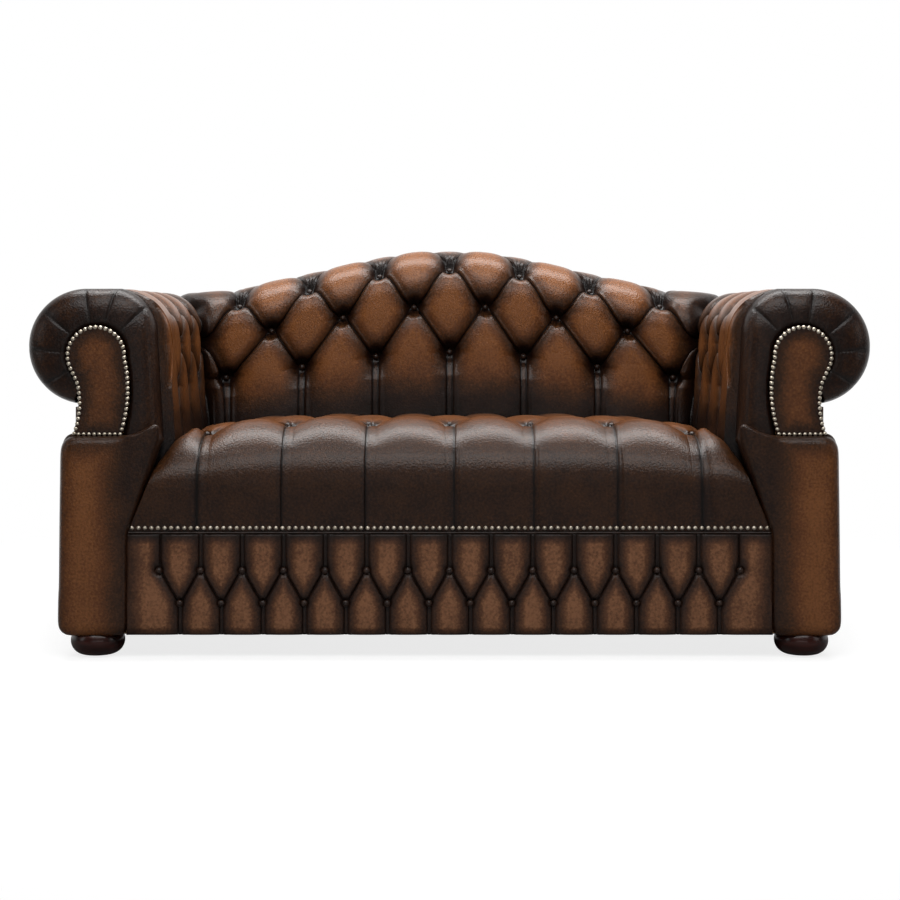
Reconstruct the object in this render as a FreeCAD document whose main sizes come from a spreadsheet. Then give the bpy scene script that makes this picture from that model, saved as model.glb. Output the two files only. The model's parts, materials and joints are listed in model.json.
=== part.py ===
import FreeCAD
import Part
import math
import os
import re

# Chesterfield loveseat with deep-buttoned back, arms, seat and front border.
# Millimetres. +X is the viewer's right, the front faces -Y, +Z is up.

Vector = FreeCAD.Vector

SIZES = {
    # Overall
    "overall_width": 1720,
    "overall_depth": 900,
    "arm_height": 746,
    "crown_rise": 103,
    # Upholstered wall of arms and back, in section
    "section_width": 284,
    "roll_radius": 118,
    "shoulder_radius": 95,
    "face_lean": 15,
    "tuck_depth": 102,
    "roll_sweep": 170,
    "tuft_height": 35,
    "pleat_height": 6,
    "button_seat": 2.5,
    "fold_width": 12,
    "quilt_back": 1,
    "pad_drop": 6.4,
    "back_pad_drop": 8,
    "soft_gap": 0.3,
    "mitre_blend": 76,
    # Button lattice of back and arms
    "low_row_share": 0.594,
    "mid_row_share": 0.9225,
    "top_row_angle": 47,
    "roll_row_angle": 35,
    "low_pitch_share": 0.3021,
    "mid_pitch_share": 0.2917,
    "top_pitch_share": 0.2882,
    "arm_pitch_share": 0.292,
    "arm_first_share": 0.157,
    "corner_fan": 48,
    "crown_bend_share": 0.35,
    "crown_end_share": 0.06,
    # Seat
    "seat_height": 482,
    "seat_tuft": 24,
    "seat_edge_radius": 110,
    "seat_pitch_share": 0.2934,
    "seat_row_pitch": 150,
    "seat_first_row": 150,
    "seat_fold": 18,
    "seat_side_drop": 20,
    "seat_rake": 18,
    "seat_fall": 30,
    "seat_level_share": 0.5,
    "seat_hem": 14,
    "seat_brow_share": 0.45,
    "front_pad": 14,
    # Front border
    "border_drop": 232,
    "border_pitch_share": 0.12854,
    "border_low_share": 0.315,
    "border_top_share": 0.641,
    "border_tuft": 12.5,
    "border_fold": 8,
    # Pillar, facing and collar of the arm front
    "pillar_width": 136,
    "pillar_setback": 73,
    "pillar_drop": 36,
    "pillar_taper": 5,
    "pillar_padding": 26,
    "pillar_corner": 24,
    "pillar_edge": 9,
    "wing_rise": 41,
    "front_draw": 22,
    "front_run": 45,
    "collar_start": 78,
    "collar_depth": 52,
    "collar_wall": 10,
    "collar_pleat": 6,
    "facing_thickness": 8,
    "facing_head_radius": 62,
    "facing_head_inset": 138,
    "facing_head_drop": 136,
    "facing_waist_inset": 69,
    "facing_neck_inset": 175.5,
    "facing_foot_inner": 84,
    "facing_foot_outer": 187,
    # Timber
    "foot_height": 48,
    "foot_radius": 54,
    "foot_top_radius": 49,
    "foot_sole_radius": 30,
    "foot_inset": 56,
    "glide_height": 3,
    "glide_radius": 13,
    "bolt_radius": 4,
    "bolt_clearance": 0.2,
    "bolt_in_foot": 26,
    "bolt_in_post": 36,
    "frame_inset": 68,
    "post_size": 90,
    "front_post_thickness": 44,
    "rail_drop": 14,
    "rail_thickness": 28,
    "centre_rail_height": 116,
    "top_rail_height": 40,
    "tack_rail_height": 40,
    "upright_offset": 165,
    "upright_width": 60,
    "corner_block_leg": 60,
    "corner_block_height": 70,
    # Suspension
    "spring_wire": 1.9,
    "spring_width": 48,
    "spring_spacing": 165,
    "spring_loop": 26,
    "clip_plate": 1.5,
    "clip_width": 28,
    "hessian_thickness": 2,
    "strap_width": 50,
    "strap_thickness": 1.6,
    "strap_spacing": 160,
    # Outside covers and trim
    "panel_inset": 176,
    "panel_thickness": 4,
    "panel_drop": 206,
    "dust_thickness": 1,
    "welt_radius": 2.6,
    "button_radius": 7,
    "button_dome": 5,
    "button_lift": 4.3,
    "button_shank": 2,
    "nail_radius": 4.3,
    "nail_dome": 2.6,
    "seat_nail_pitch": 13.1,
    "facing_nail_pitch": 10.4,
    "nail_margin": 5,
}

# Places worked out from the sizes above, in words
PLACES = {
    "front": "-overall_depth / 2",
    "arm_face": "overall_width / 2 - section_width",
    "back_face": "overall_depth / 2 - section_width",
    "tuck_height": "seat_height - tuck_depth",
    "face_rise": "arm_height - shoulder_radius - tuck_height",
    "low_row_height": "tuck_height + low_row_share * face_rise",
    "mid_row_height": "tuck_height + mid_row_share * face_rise",
    "back_low_pitch": "arm_face * low_pitch_share",
    "back_mid_pitch": "arm_face * mid_pitch_share",
    "back_top_pitch": "arm_face * top_pitch_share",
    "arm_length": "back_face - collar_line",
    "arm_pitch": "arm_length * arm_pitch_share",
    "arm_first_button": "arm_length * arm_first_share",
    "seat_pitch": "arm_face * seat_pitch_share",
    "border_pitch": "border_half * border_pitch_share",
    "border_top": "seat_height - border_drop",
    "border_rise": "border_top - foot_height",
    "border_low_row": "foot_height + border_low_share * border_rise",
    "border_top_row": "foot_height + border_top_share * border_rise",
    "pillar_top": "seat_height - pillar_drop",
    "wing_top": "pillar_top + wing_rise",
    "facing_head_height": "arm_height - facing_head_drop",
    "panel_top": "arm_height - panel_drop",
    "rail_height": "border_rise - rail_drop",
    "pillar_outside": "overall_width / 2 - pillar_setback",
    "pillar_inside": "pillar_outside - pillar_width",
    "post_outside": "pillar_outside - pillar_taper - pillar_edge - soft_gap",
    "post_inside": "pillar_inside + button_seat",
    "post_front": "front + pillar_padding",
    "post_rear": "post_front + front_post_thickness",
    "collar_line": "front + collar_start",
    "frame_in": "arm_face + frame_inset",
    "frame_out": "frame_in + post_size",
    "back_in": "back_face + frame_inset",
    "back_out": "back_in + post_size",
    "panel_in": "arm_face + panel_inset",
    "panel_out": "panel_in + panel_thickness",
    "panel_rear_in": "back_face + panel_inset",
    "panel_rear_out": "panel_rear_in + panel_thickness",
    "rail_top": "foot_height + rail_height",
    "wire_level": "rail_top + clip_plate + spring_wire + soft_gap",
    "hessian_level": "wire_level + spring_wire + soft_gap + clip_plate",
    "core_level": "hessian_level + hessian_thickness",
    "seat_half": "arm_face - face_lean - button_seat",
    "seat_rear": "back_face - face_lean - button_seat",
    "seat_base": "seat_height - seat_tuft",
    "seat_front": "front + front_pad",
    "seat_start": "border_top + 2 * welt_radius + 2 * soft_gap",
    "border_half": "pillar_inside - 2 * soft_gap",
    "top_rail_level": "arm_height - roll_radius - top_rail_height / 2",
    "tack_level": "tuck_height + button_seat",
    "pad_depth": "frame_inset - strap_thickness - tuft_height - soft_gap",
    "foot_front": "front + foot_inset",
    "foot_side": "pillar_outside - pillar_width / 2 - button_seat",
    "back_foot_side": "frame_in + post_size / 2",
    "back_foot_rear": "back_in + post_size / 2",
    "facing_foot": "pillar_top + soft_gap",
    "neck_top": "arm_height - 2 * roll_radius - panel_thickness",
}

doc = FreeCAD.newDocument("loveseat")
sheet = doc.addObject("Spreadsheet::Sheet", "sizes")
for row, (name, value) in enumerate(SIZES.items(), 1):
    sheet.set(f"A{row}", name)
    sheet.set(f"B{row}", str(value))
    sheet.setAlias(f"B{row}", name)
doc.recompute()

SIDES = ((-1, "left"), (1, "right"))
nodes = []


def ex(text):
    """An expression in sizes and places, written out in cells of the sheet."""
    def word(match):
        name = match.group(0)
        if name in PLACES:
            return "(" + ex(PLACES[name]) + ")"
        return "sizes." + name if name in SIZES else name
    return re.sub(r"[a-z_]{3,}", word, text)


def num(text):
    """The present value of an expression in sizes and places."""
    return float(sheet.evalExpression(ex(text)))


def handed(side, low, high):
    """A span on X, mirrored for the left-hand piece."""
    return (low, high) if side > 0 else (f"-({high})", f"-({low})")


def keep(piece):
    """Note a finished sub-part, to be checked and written at the end."""
    nodes.append(piece)
    return piece


def plank(label, x, y, z):
    """A straight piece of board, bound to the sheet on all its sides."""
    box = doc.addObject("Part::Box", label)
    for axis, length, (low, high) in zip("xyz", ("Length", "Width", "Height"), (x, y, z)):
        box.setExpression(length, ex(f"({high}) - ({low})"))
        box.setExpression("Placement.Base." + axis, ex(low))
    return box


def rod(label, radius, x, y, low, high):
    """An upright round bar."""
    bar = doc.addObject("Part::Cylinder", label)
    bar.setExpression("Radius", ex(radius))
    bar.setExpression("Height", ex(f"({high}) - ({low})"))
    for axis, place in zip("xyz", (x, y, low)):
        bar.setExpression("Placement.Base." + axis, ex(place))
    return bar


def group(label, pieces):
    """Several separate pieces of one kind in one node."""
    bundle = doc.addObject("Part::Compound", label)
    bundle.Links = pieces
    return keep(bundle)


def cut(label, base, tool):
    """A piece with another one's form taken out of it."""
    piece = doc.addObject("Part::Cut", label)
    piece.Base = base
    piece.Tool = tool
    return keep(piece)


def feature(label, shape):
    """A form that lofts and loops make, as a document object."""
    piece = doc.addObject("Part::Feature", label)
    piece.Shape = shape
    return keep(piece)


def draw(sketch, path, side=1):
    """A closed outline: a pair is a line's end, two pairs are an arc's middle and end."""
    def point(pair):
        return Vector(side * pair[0], pair[1], 0)
    start = point(path[0])
    for step in path[1:] + [path[0]]:
        if isinstance(step[0], tuple):
            end = point(step[1])
            sketch.addGeometry(Part.Arc(start, point(step[0]), end), False)
        else:
            end = point(step)
            if end.distanceToPoint(start) > num("soft_gap") / 100:
                sketch.addGeometry(Part.LineSegment(start, end), False)
        start = end


def sketch_on(body, plane, name):
    """An empty sketch on one of a body's own origin planes."""
    sketch = body.newObject("Sketcher::SketchObject", name)
    support = [f for f in body.Origin.OriginFeatures if f.Role == plane][0]
    sketch.AttachmentSupport = [(support, "")]
    sketch.MapMode = "FlatFace"
    return sketch


def front_board(label, path, side, front_place, thickness):
    """A board sawn to a front-view outline, front_place being its front face."""
    body = doc.addObject("PartDesign::Body", label)
    sketch = sketch_on(body, "XZ_Plane", label + "_outline")
    draw(sketch, path, side)
    pad = body.newObject("PartDesign::Pad", label + "_pad")
    pad.Profile = sketch
    pad.setExpression("Length", ex(thickness))
    body.Tip = pad
    body.setExpression("Placement.Base.y", ex(f"{front_place} + {thickness}"))
    doc.recompute()
    return body


def turned(label, path):
    """A piece turned about the upright axis, from its half outline."""
    body = doc.addObject("PartDesign::Body", label)
    sketch = sketch_on(body, "XZ_Plane", label + "_profile")
    draw(sketch, path)
    turn = body.newObject("PartDesign::Revolution", label + "_turn")
    turn.Profile = sketch
    turn.ReferenceAxis = (sketch, ["V_Axis"])
    turn.Angle = 360
    body.Tip = turn
    return body


# The wall section: up the inside face, over the shoulder, along the top and round the roll

TUFT = num("tuft_height")
FACE_RADIUS = num("shoulder_radius") - TUFT
ROLL_RADIUS = num("roll_radius") - TUFT
ROLL_AXIS = num("section_width - roll_radius")
ROLL_LEVEL = num("arm_height - roll_radius")
SHOULDER_LEVEL = num("arm_height - shoulder_radius")
FACE_LENGTH = SHOULDER_LEVEL - num("tuck_height")
SHOULDER_LENGTH = FACE_RADIUS * math.pi / 2
FLAT_LENGTH = ROLL_AXIS - num("shoulder_radius")
ROLL_START = FACE_LENGTH + SHOULDER_LENGTH + FLAT_LENGTH
WALL_LENGTH = ROLL_START + ROLL_RADIUS * math.radians(num("roll_sweep"))


def wall(up):
    """Inset, height and outward direction of the button plane, at a distance along the section."""
    if up <= FACE_LENGTH:
        lean = num("face_lean") * (1 - up / FACE_LENGTH)
        return TUFT - lean, num("tuck_height") + up, -1.0, 0.0
    up -= FACE_LENGTH
    if up <= SHOULDER_LENGTH:
        turn = up / FACE_RADIUS
        across, rise = -math.cos(turn), math.sin(turn)
        return num("shoulder_radius") + FACE_RADIUS * across, SHOULDER_LEVEL + FACE_RADIUS * rise, across, rise
    up -= SHOULDER_LENGTH
    if up <= FLAT_LENGTH:
        return num("shoulder_radius") + up, num("arm_height") - TUFT, 0.0, 1.0
    turn = (up - FLAT_LENGTH) / ROLL_RADIUS
    across, rise = math.sin(turn), math.cos(turn)
    return ROLL_AXIS + ROLL_RADIUS * across, ROLL_LEVEL + ROLL_RADIUS * rise, across, rise


def ease(share):
    """A smooth step from 0 to 1."""
    share = min(max(share, 0.0), 1.0)
    return share * share * (3 - 2 * share)


ARM_FACE = num("arm_face")
BACK_FACE = num("back_face")
MITRE = ARM_FACE - num("soft_gap")
BLEND = num("mitre_blend")
SERPENT = ARM_FACE + num("frame_inset")
RISE = num("crown_rise")
RISE_START = num("rail_top")
RISE_LENGTH = num("arm_height") - num("pad_depth") - RISE_START


CROWN_BEND = num("crown_bend_share")
CROWN_END = num("crown_end_share")


def serpentine(across):
    """The crown of the back over its width: a round top, straight slopes, a short hollow at the arms."""
    share = min(abs(across) / ARM_FACE, 1.0)
    slope = 2 / (2 - CROWN_BEND - CROWN_END)
    if share < CROWN_BEND:
        return RISE * (1 - slope * share * share / (2 * CROWN_BEND))
    if share > 1 - CROWN_END:
        return RISE * slope * (1 - share) ** 2 / (2 * CROWN_END)
    return RISE * slope * (1 - CROWN_END / 2 - share)


def lifted(across, height):
    """A height of the straight section, raised by the serpentine."""
    share = min(max((height - RISE_START) / RISE_LENGTH, 0.0), 1.0)
    return height + serpentine(across) * share


def on_back(along, up, puff):
    """A point of the back: along its width, up its section and off the button plane."""
    inset, height, across, rise = wall(up)
    inset += puff * across
    height += puff * rise
    fan = inset * ease(1 - (ARM_FACE - abs(along)) / BLEND)
    return Vector(along + math.copysign(fan, along), BACK_FACE + inset, lifted(along, height))


def on_arm(side):
    """The same for an arm, along its depth from the mitred corner to the front."""
    def point(along, up, puff):
        inset, height, across, rise = wall(up)
        inset += puff * across
        height += puff * rise
        fan = inset * ease(1 - along / BLEND)
        return Vector(side * (ARM_FACE + inset), BACK_FACE - along + fan, height)
    return point


# Quilting: sections of arcs, pinched at the buttons, lofted from row to row

class Row:
    """One row of buttons, or an edge that takes the folds of the row next to it."""

    def __init__(self, up, parity, buttons, crown, plain=(), sewn=True):
        self.up = up
        self.parity = parity % 2
        self.buttons = buttons
        self.crown = crown
        self.plain = plain
        self.sewn = sewn


class Quilt:
    """A stuffed cover with a diamond lattice of buttons."""

    least_strip = 3.0
    least_rise = 0.3
    steep = 0.4
    end_steep = 0.4

    def __init__(self, place, first, last, ends, fold, seat, pleat, edge):
        self.place = place
        self.first = first
        self.last = last
        self.ends = ends
        self.fold = fold
        self.seat = seat
        self.pleat = pleat
        self.edge = edge
        self.rows = []

    def folds(self, row):
        """Places and heights of the folds on a row, in order."""
        places = []
        for k in range(self.first, self.last):
            button = k if k % 2 == row.parity else k + 1
            shift = self.fold / 2 if button == k else -self.fold / 2
            far = self.ends[1] if button > (self.first + self.last) / 2 else self.ends[0]
            places.append(row.buttons.get(button, far) + shift)
        low, high = self.ends
        for i in range(len(places)):
            before = places[i - 1] if i else low
            places[i] = max(places[i], before + self.least_strip)
        for i in reversed(range(len(places))):
            after = places[i + 1] if i + 1 < len(places) else high
            places[i] = min(places[i], after - self.least_strip)
        return [low] + places + [high]

    def fold_heights(self, row):
        """How high each fold lies: on the button plane, or at the crown where it has died out."""
        heights = []
        for k in range(self.first, self.last):
            button = k if k % 2 == row.parity else k + 1
            heights.append(row.crown if button in row.plain else self.seat)
        return heights

    def openness(self, k, row):
        return 0.0 if k % 2 == row.parity else 1.0

    def stations(self, steps):
        """Sections between the rows: fold places, fold heights and crown heights."""
        found = []
        for i, (low, high) in enumerate(zip(self.rows, self.rows[1:])):
            last = i == len(self.rows) - 2
            for j in range(steps[i] + last):
                found.append(self.station(low, high, j / steps[i]))
        return found

    def station(self, low, high, share):
        up = low.up + (high.up - low.up) * share
        places = [a + (b - a) * share for a, b in zip(self.folds(low), self.folds(high))]
        heights = [a + (b - a) * share for a, b in zip(self.fold_heights(low), self.fold_heights(high))]
        heights = [value + self.pleat * 4 * share * (1 - share) for value in heights]
        crown = low.crown + (high.crown - low.crown) * share
        swell = []
        for k in range(self.first, self.last + 1):
            a, b = self.openness(k, low), self.openness(k, high)
            turn = share * math.pi / 2
            swell.append(a if a == b else math.sin(turn) if b > a else math.cos(turn))
        heights = [self.edge(up, 0, heights[0])] + heights + [self.edge(up, 1, heights[-1])]
        return up, places, heights, crown, swell

    def section(self, station, back):
        """The outer wire of arcs and the inner wire of lines of one section."""
        up, places, heights, crown, swell = station
        outer, inner = [], []
        for i, swollen in enumerate(swell):
            left, right = places[i], places[i + 1]
            mean = (heights[i] + heights[i + 1]) / 2
            height = mean + max(crown - self.least_rise - mean, 0.0) * swollen
            steep = self.end_steep if i in (0, len(swell) - 1) else self.steep
            height = min(height, max(heights[i], heights[i + 1]) + steep * (right - left))
            a = self.place(left, up, heights[i])
            b = self.place(right, up, heights[i + 1])
            top = self.place((left + right) / 2, up, height + self.least_rise)
            outer.append(Part.Arc(a, top, b).toShape())
            low, high = (min(heights[j], 0.0) - back for j in (i, i + 1))
            inner.append(Part.makeLine(self.place(left, up, low), self.place(right, up, high)))
        return outer, inner

    def solid(self, steps, back):
        pairs = [self.section(station, back) for station in self.stations(steps)]
        return lofted([pair[0] for pair in pairs], [pair[1] for pair in pairs])

    def seats(self):
        """Button places and directions on the sewn rows, and how far a corner lifts a button."""
        for row in self.rows:
            if row.sewn:
                for k, along in sorted(row.buttons.items()):
                    corner = min(abs(along - end) for end in self.ends)
                    if k not in row.plain and not 0 < corner < 2 * num("button_radius"):
                        base = self.place(along, row.up, self.seat)
                        out = (self.place(along, row.up, self.seat + TUFT) - base).normalize()
                        yield base, out, num("button_radius + pleat_height / 2") if along in self.ends else 0.0


def lofted(outer, inner):
    """A closed solid between two ruled lofts through like sections of edges."""
    skins = []
    for sections in (outer, inner):
        skins.append(Part.makeLoft([Part.Wire(edges) for edges in sections], False, True))
    for end in (0, -1):
        for a, b in zip(outer[end], inner[end]):
            skins.append(Part.makeRuledSurface(a, b))
    for end, vertex in ((0, 0), (-1, -1)):
        rungs = []
        for a, b in zip(outer, inner):
            rung = Part.makeLine(a[end].Vertexes[vertex].Point, b[end].Vertexes[vertex].Point)
            rungs.append(Part.Wire([rung]))
        skins.append(Part.makeLoft(rungs, False, True))
    shell = Part.makeCompound([face for skin in skins for face in skin.Faces])
    shell.sewShape()
    solid = Part.Solid(shell.Shells[0])
    if solid.Volume < 0:
        solid.reverse()
    return solid


def wall_quilt(place, first, last, ends, edge):
    """A quilt of the wall section, with end strips flat enough to stay within the mitre."""
    quilt = Quilt(place, first, last, ends, num("fold_width"), num("button_seat"), num("pleat_height"), edge)
    quilt.end_steep = 0.18
    return quilt


LOW_ROW = num("low_row_height - tuck_height")
MID_ROW = num("mid_row_height - tuck_height")
TOP_ROW = FACE_LENGTH + FACE_RADIUS * math.radians(num("top_row_angle"))
ROLL_ROW = ROLL_START + ROLL_RADIUS * math.radians(num("roll_row_angle"))
WALL_STEPS = (1, 3, 3, 4, 4)


def wall_rows(low, mid, top, roll, parity, plain_mid=()):
    """The rows of a wall from the tuck behind the seat to the tack line under the roll."""
    return [
        Row(0, parity, low, TUFT, sewn=False),
        Row(LOW_ROW, parity, low, TUFT),
        Row(MID_ROW, parity + 1, mid, TUFT, plain_mid),
        Row(TOP_ROW, parity, top, TUFT),
        Row(ROLL_ROW, parity + 1, roll, TUFT),
        Row(WALL_LENGTH, parity + 1, roll, TUFT, sewn=False),
    ]


def columns(indices, pitch):
    return {k: k * num(pitch) / 2 for k in indices}


def back_quilt():
    quilt = wall_quilt(on_back, -8, 8, (-MITRE, MITRE), lambda up, end, fold: fold)
    low = columns(range(-6, 7, 2), "back_low_pitch")
    mid = columns(range(-5, 6, 2), "back_mid_pitch")
    top = columns(range(-6, 7, 2), "back_top_pitch")
    roll = columns(range(-5, 6, 2), "back_top_pitch")
    for sign in (-1, 1):
        mid[sign * 7] = sign * MITRE
        top[sign * 8] = sign * MITRE
        roll[sign * 7] = sign * (MITRE - num("corner_fan"))
    quilt.rows = wall_rows(low, mid, top, roll, 0)
    return quilt


ARM_LENGTH = num("arm_length")


def front_edge(up):
    """Height of the cover at the arm's front edge, drawn in on its inside face."""
    across = wall(up)[2]
    return TUFT - num("front_draw") * max(-across, 0.0)


def arm_quilt(side):
    def edge(up, end, fold):
        return front_edge(up) if end else fold
    quilt = wall_quilt(on_arm(side), -1, 7, (num("soft_gap"), ARM_LENGTH), edge)
    first, pitch = num("arm_first_button"), num("arm_pitch")
    even = {k: first + (k - 1) * pitch / 2 for k in (2, 4, 6)}
    odd = {k: first + (k - 1) * pitch / 2 for k in (1, 3, 5)}
    roll = dict(even)
    roll[0] = num("corner_fan")
    even[0] = num("fold_width")
    quilt.rows = wall_rows(odd, even, dict(odd), roll, 1, plain_mid=(6,))
    for row in quilt.rows[:2] + quilt.rows[3:4]:
        row.plain = (7,)
    return quilt


# Seat: up the front face, over the edge and back along the top

SEAT_FACE = num("seat_base - seat_edge_radius - (seat_start)")
SEAT_EDGE = num("seat_edge_radius") * math.pi / 2
SEAT_LENGTH = SEAT_FACE + SEAT_EDGE + num("seat_rear - (seat_front) - seat_edge_radius")


def seat_line(up):
    """Depth, height and outward direction of the seat's button plane."""
    radius = num("seat_edge_radius")
    front, start = num("seat_front"), num("seat_start")
    if up <= SEAT_FACE:
        return front, start + up, -1.0, 0.0
    if up <= SEAT_FACE + SEAT_EDGE:
        turn = (up - SEAT_FACE) / radius
        out, rise = -math.cos(turn), math.sin(turn)
        return front + radius + radius * out, start + SEAT_FACE + radius * rise, out, rise
    run = up - SEAT_FACE - SEAT_EDGE
    rake = num("seat_rake") * run / (SEAT_LENGTH - SEAT_FACE - SEAT_EDGE)
    return front + radius + run, num("seat_base") - rake, 0.0, 1.0


def seat_fall(across):
    """How far the seat has fallen off towards the arms, at a place on its width."""
    half, level = num("seat_half"), num("seat_half * seat_level_share")
    share = min(max((abs(across) - level) / (half - level), 0.0), 1.0)
    return num("seat_fall") * share * share


def seat_side(height, depth):
    """Half width of the seat at a place: wide between the pillars, narrow between the arms."""
    low, high = num("seat_start"), num("pillar_top")
    wide = num("pillar_inside") - num("button_seat")
    share = min(max((height - low) / (high - low), 0.0), 1.0)
    forward = ease((num("collar_line + front_run") - depth) / num("front_run"))
    return wide + (num("seat_half") + num("front_draw") * forward - wide) * share


SEAT_SEAM = 3 * num("seat_pitch")


def on_seat(along, up, puff):
    depth, height, out, rise = seat_line(up)
    reach = abs(along)
    if reach > SEAT_SEAM:
        spread = (seat_side(height, depth) - SEAT_SEAM) / (num("seat_half") - SEAT_SEAM)
        reach = SEAT_SEAM + (reach - SEAT_SEAM) * spread
    start = num("seat_start")
    fall = seat_fall(along) * (height - start) / (num("seat_base") - start)
    return Vector(math.copysign(reach, along), depth + puff * out, height - fall + puff * rise)


def seat_quilt():
    half = num("seat_half")
    drop, tuft = num("seat_side_drop"), num("seat_tuft")

    def edge(up, end, fold):
        return fold - drop * ease((up - SEAT_FACE) / SEAT_EDGE)
    quilt = Quilt(on_seat, -7, 7, (-half, half), num("seat_fold"), num("button_seat"), num("pleat_height"), edge)
    even = columns(range(-6, 7, 2), "seat_pitch")
    odd = columns(range(-5, 6, 2), "seat_pitch")
    first = SEAT_FACE + SEAT_EDGE + num("seat_first_row - front_pad - seat_edge_radius")
    pitch = num("seat_row_pitch")
    flat = num("button_seat")
    brow = SEAT_FACE + num("seat_brow_share") * SEAT_EDGE
    quilt.rows = [
        Row(0, 0, even, flat, sewn=False),
        Row(num("seat_hem"), 0, even, flat, sewn=False),
        Row(brow, 0, even, tuft / 3, sewn=False),
        Row(first, 0, even, tuft),
        Row(first + pitch, 1, odd, tuft),
        Row(first + 2 * pitch, 0, even, tuft),
        Row(SEAT_LENGTH, 0, even, tuft, sewn=False),
    ]
    return quilt


def on_border(along, up, puff):
    return Vector(along, num("seat_front") - puff, up)


def border_quilt():
    half = num("border_half")
    tuft = num("border_tuft")
    quilt = Quilt(on_border, -15, 15, (-half, half), num("border_fold"), 1.0, num("button_seat"),
                  lambda up, end, fold: tuft / 2)
    even = columns(range(-14, 15, 2), "border_pitch")
    odd = columns(range(-13, 14, 2), "border_pitch")
    quilt.rows = [
        Row(num("foot_height"), 1, odd, tuft / 2, (-15, 15), sewn=False),
        Row(num("border_low_row"), 1, odd, tuft, (-15, 15)),
        Row(num("border_top_row"), 0, even, tuft),
        Row(num("border_top"), 0, even, tuft / 2, sewn=False),
    ]
    return quilt


# Plain padding under the quilted covers

def wall_pad(place, cuts, drop):
    """A slab of padding that follows the wall section, lofted through sections along its length."""
    knots = [0, FACE_LENGTH, FACE_LENGTH + SHOULDER_LENGTH, ROLL_START,
             (ROLL_START + WALL_LENGTH) / 2, WALL_LENGTH]
    straight = (0, 2)
    outside, inside = -drop, -num("pad_depth")
    wires = []
    for along in cuts:
        edges = []
        for puff in (outside, inside):
            for i, (low, high) in enumerate(zip(knots, knots[1:])):
                a, b = place(along, low, puff), place(along, high, puff)
                if i in straight:
                    edges.append(Part.makeLine(a, b))
                else:
                    edges.append(Part.Arc(a, place(along, (low + high) / 2, puff), b).toShape())
        for end in (0, -1):
            edges.append(Part.makeLine(place(along, knots[end], outside), place(along, knots[end], inside)))
        wires.append(Part.Wire(Part.__sortEdges__(edges)))
    return Part.makeLoft(wires, True, True)


def make_upholstery():
    back = back_quilt()
    feature("inside_back_cover", back.solid(WALL_STEPS, num("quilt_back")))
    half = [MITRE * share for share in (1, 0.96, 0.92, 0.88, 0.7, 0.5, 0.33, 0.17)]
    cuts = [-along for along in half] + [0] + half[::-1]
    feature("back_padding", wall_pad(on_back, cuts, num("back_pad_drop")))
    feature("back_buttons", buttons(back))
    for side, hand in SIDES:
        arm = arm_quilt(side)
        feature("inside_arm_cover_" + hand, arm.solid(WALL_STEPS, num("quilt_back")))
        corner = [num("soft_gap") + BLEND * share for share in (0, 0.25, 0.5, 0.75, 1)]
        feature("arm_padding_" + hand, wall_pad(on_arm(side), corner + [ARM_LENGTH], num("pad_drop")))
        feature("arm_buttons_" + hand, buttons(arm))
    seat = seat_quilt()
    feature("seat_cover", seat.solid((1, 4, 4, 3, 3, 2), num("quilt_back")))
    feature("seat_buttons", buttons(seat))
    border = border_quilt()
    feature("front_border_cover", border.solid((2, 3, 2), num("quilt_back")))
    feature("border_buttons", buttons(border))


def spun(path):
    """A small turned form about Z from its half outline of lines and arcs."""
    edges = []
    start = path[0]
    for step in path[1:] + [path[0]]:
        end = step[1] if isinstance(step[0], tuple) else step
        a, b = Vector(start[0], 0, start[1]), Vector(end[0], 0, end[1])
        if isinstance(step[0], tuple):
            edges.append(Part.Arc(a, Vector(step[0][0], 0, step[0][1]), b).toShape())
        else:
            edges.append(Part.makeLine(a, b))
        start = end
    return Part.Face(Part.Wire(edges)).revolve(Vector(), Vector(0, 0, 1), 360)


def dome(radius, rise, base, path):
    """A half outline that ends in a cap of a ball, of this radius and rise."""
    ball = (radius * radius + rise * rise) / (2 * rise)
    turn = math.asin(radius / ball) / 2
    shoulder = (ball * math.sin(turn), base + rise - ball + ball * math.cos(turn))
    return path + [(radius, base), (shoulder, (0, base + rise))]


def buttons(quilt):
    """Covered buttons on their shanks, one at every sewn point of a quilt."""
    shank = num("button_shank")
    pieces = []
    for base, out, raised in quilt.seats():
        foot, lift = num("3 * soft_gap") + raised / 5, num("button_lift") + raised
        stem = [(0, foot), (shank / 2, foot), (shank, lift)]
        pieces.append(set_down(spun(dome(num("button_radius"), num("button_dome"), lift, stem)), base, out))
    return Part.makeCompound(pieces)


def set_down(pattern, base, out):
    """A copy of a small piece, standing on a point and facing out of the surface."""
    piece = pattern.copy()
    piece.Placement = FreeCAD.Placement(base, FreeCAD.Rotation(Vector(0, 0, 1), out))
    return piece


# Seat filling, springs and webbing

def core_section(across):
    """The side outline of the seat's foam at a place on its width."""
    front, heel, step = num("seat_front + pad_drop"), num("post_front"), num("seat_start")
    base, top = num("core_level"), num("seat_base - pad_drop") - seat_fall(across)
    rear, radius = num("seat_rear"), num("seat_edge_radius - pad_drop")
    slant = radius * math.sqrt(0.5)
    path = [(front + radius, top), (rear, top - num("seat_rake")), (rear, base), (heel, base), (heel, step),
            (front, step), (front, top - radius)]
    points = [Vector(across, y, z) for y, z in path]
    edges = [Part.makeLine(a, b) for a, b in zip(points, points[1:])]
    brow = Vector(across, front + radius - slant, top - radius + slant)
    edges.append(Part.Arc(points[-1], brow, points[0]).toShape())
    return Part.Wire(edges)


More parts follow.
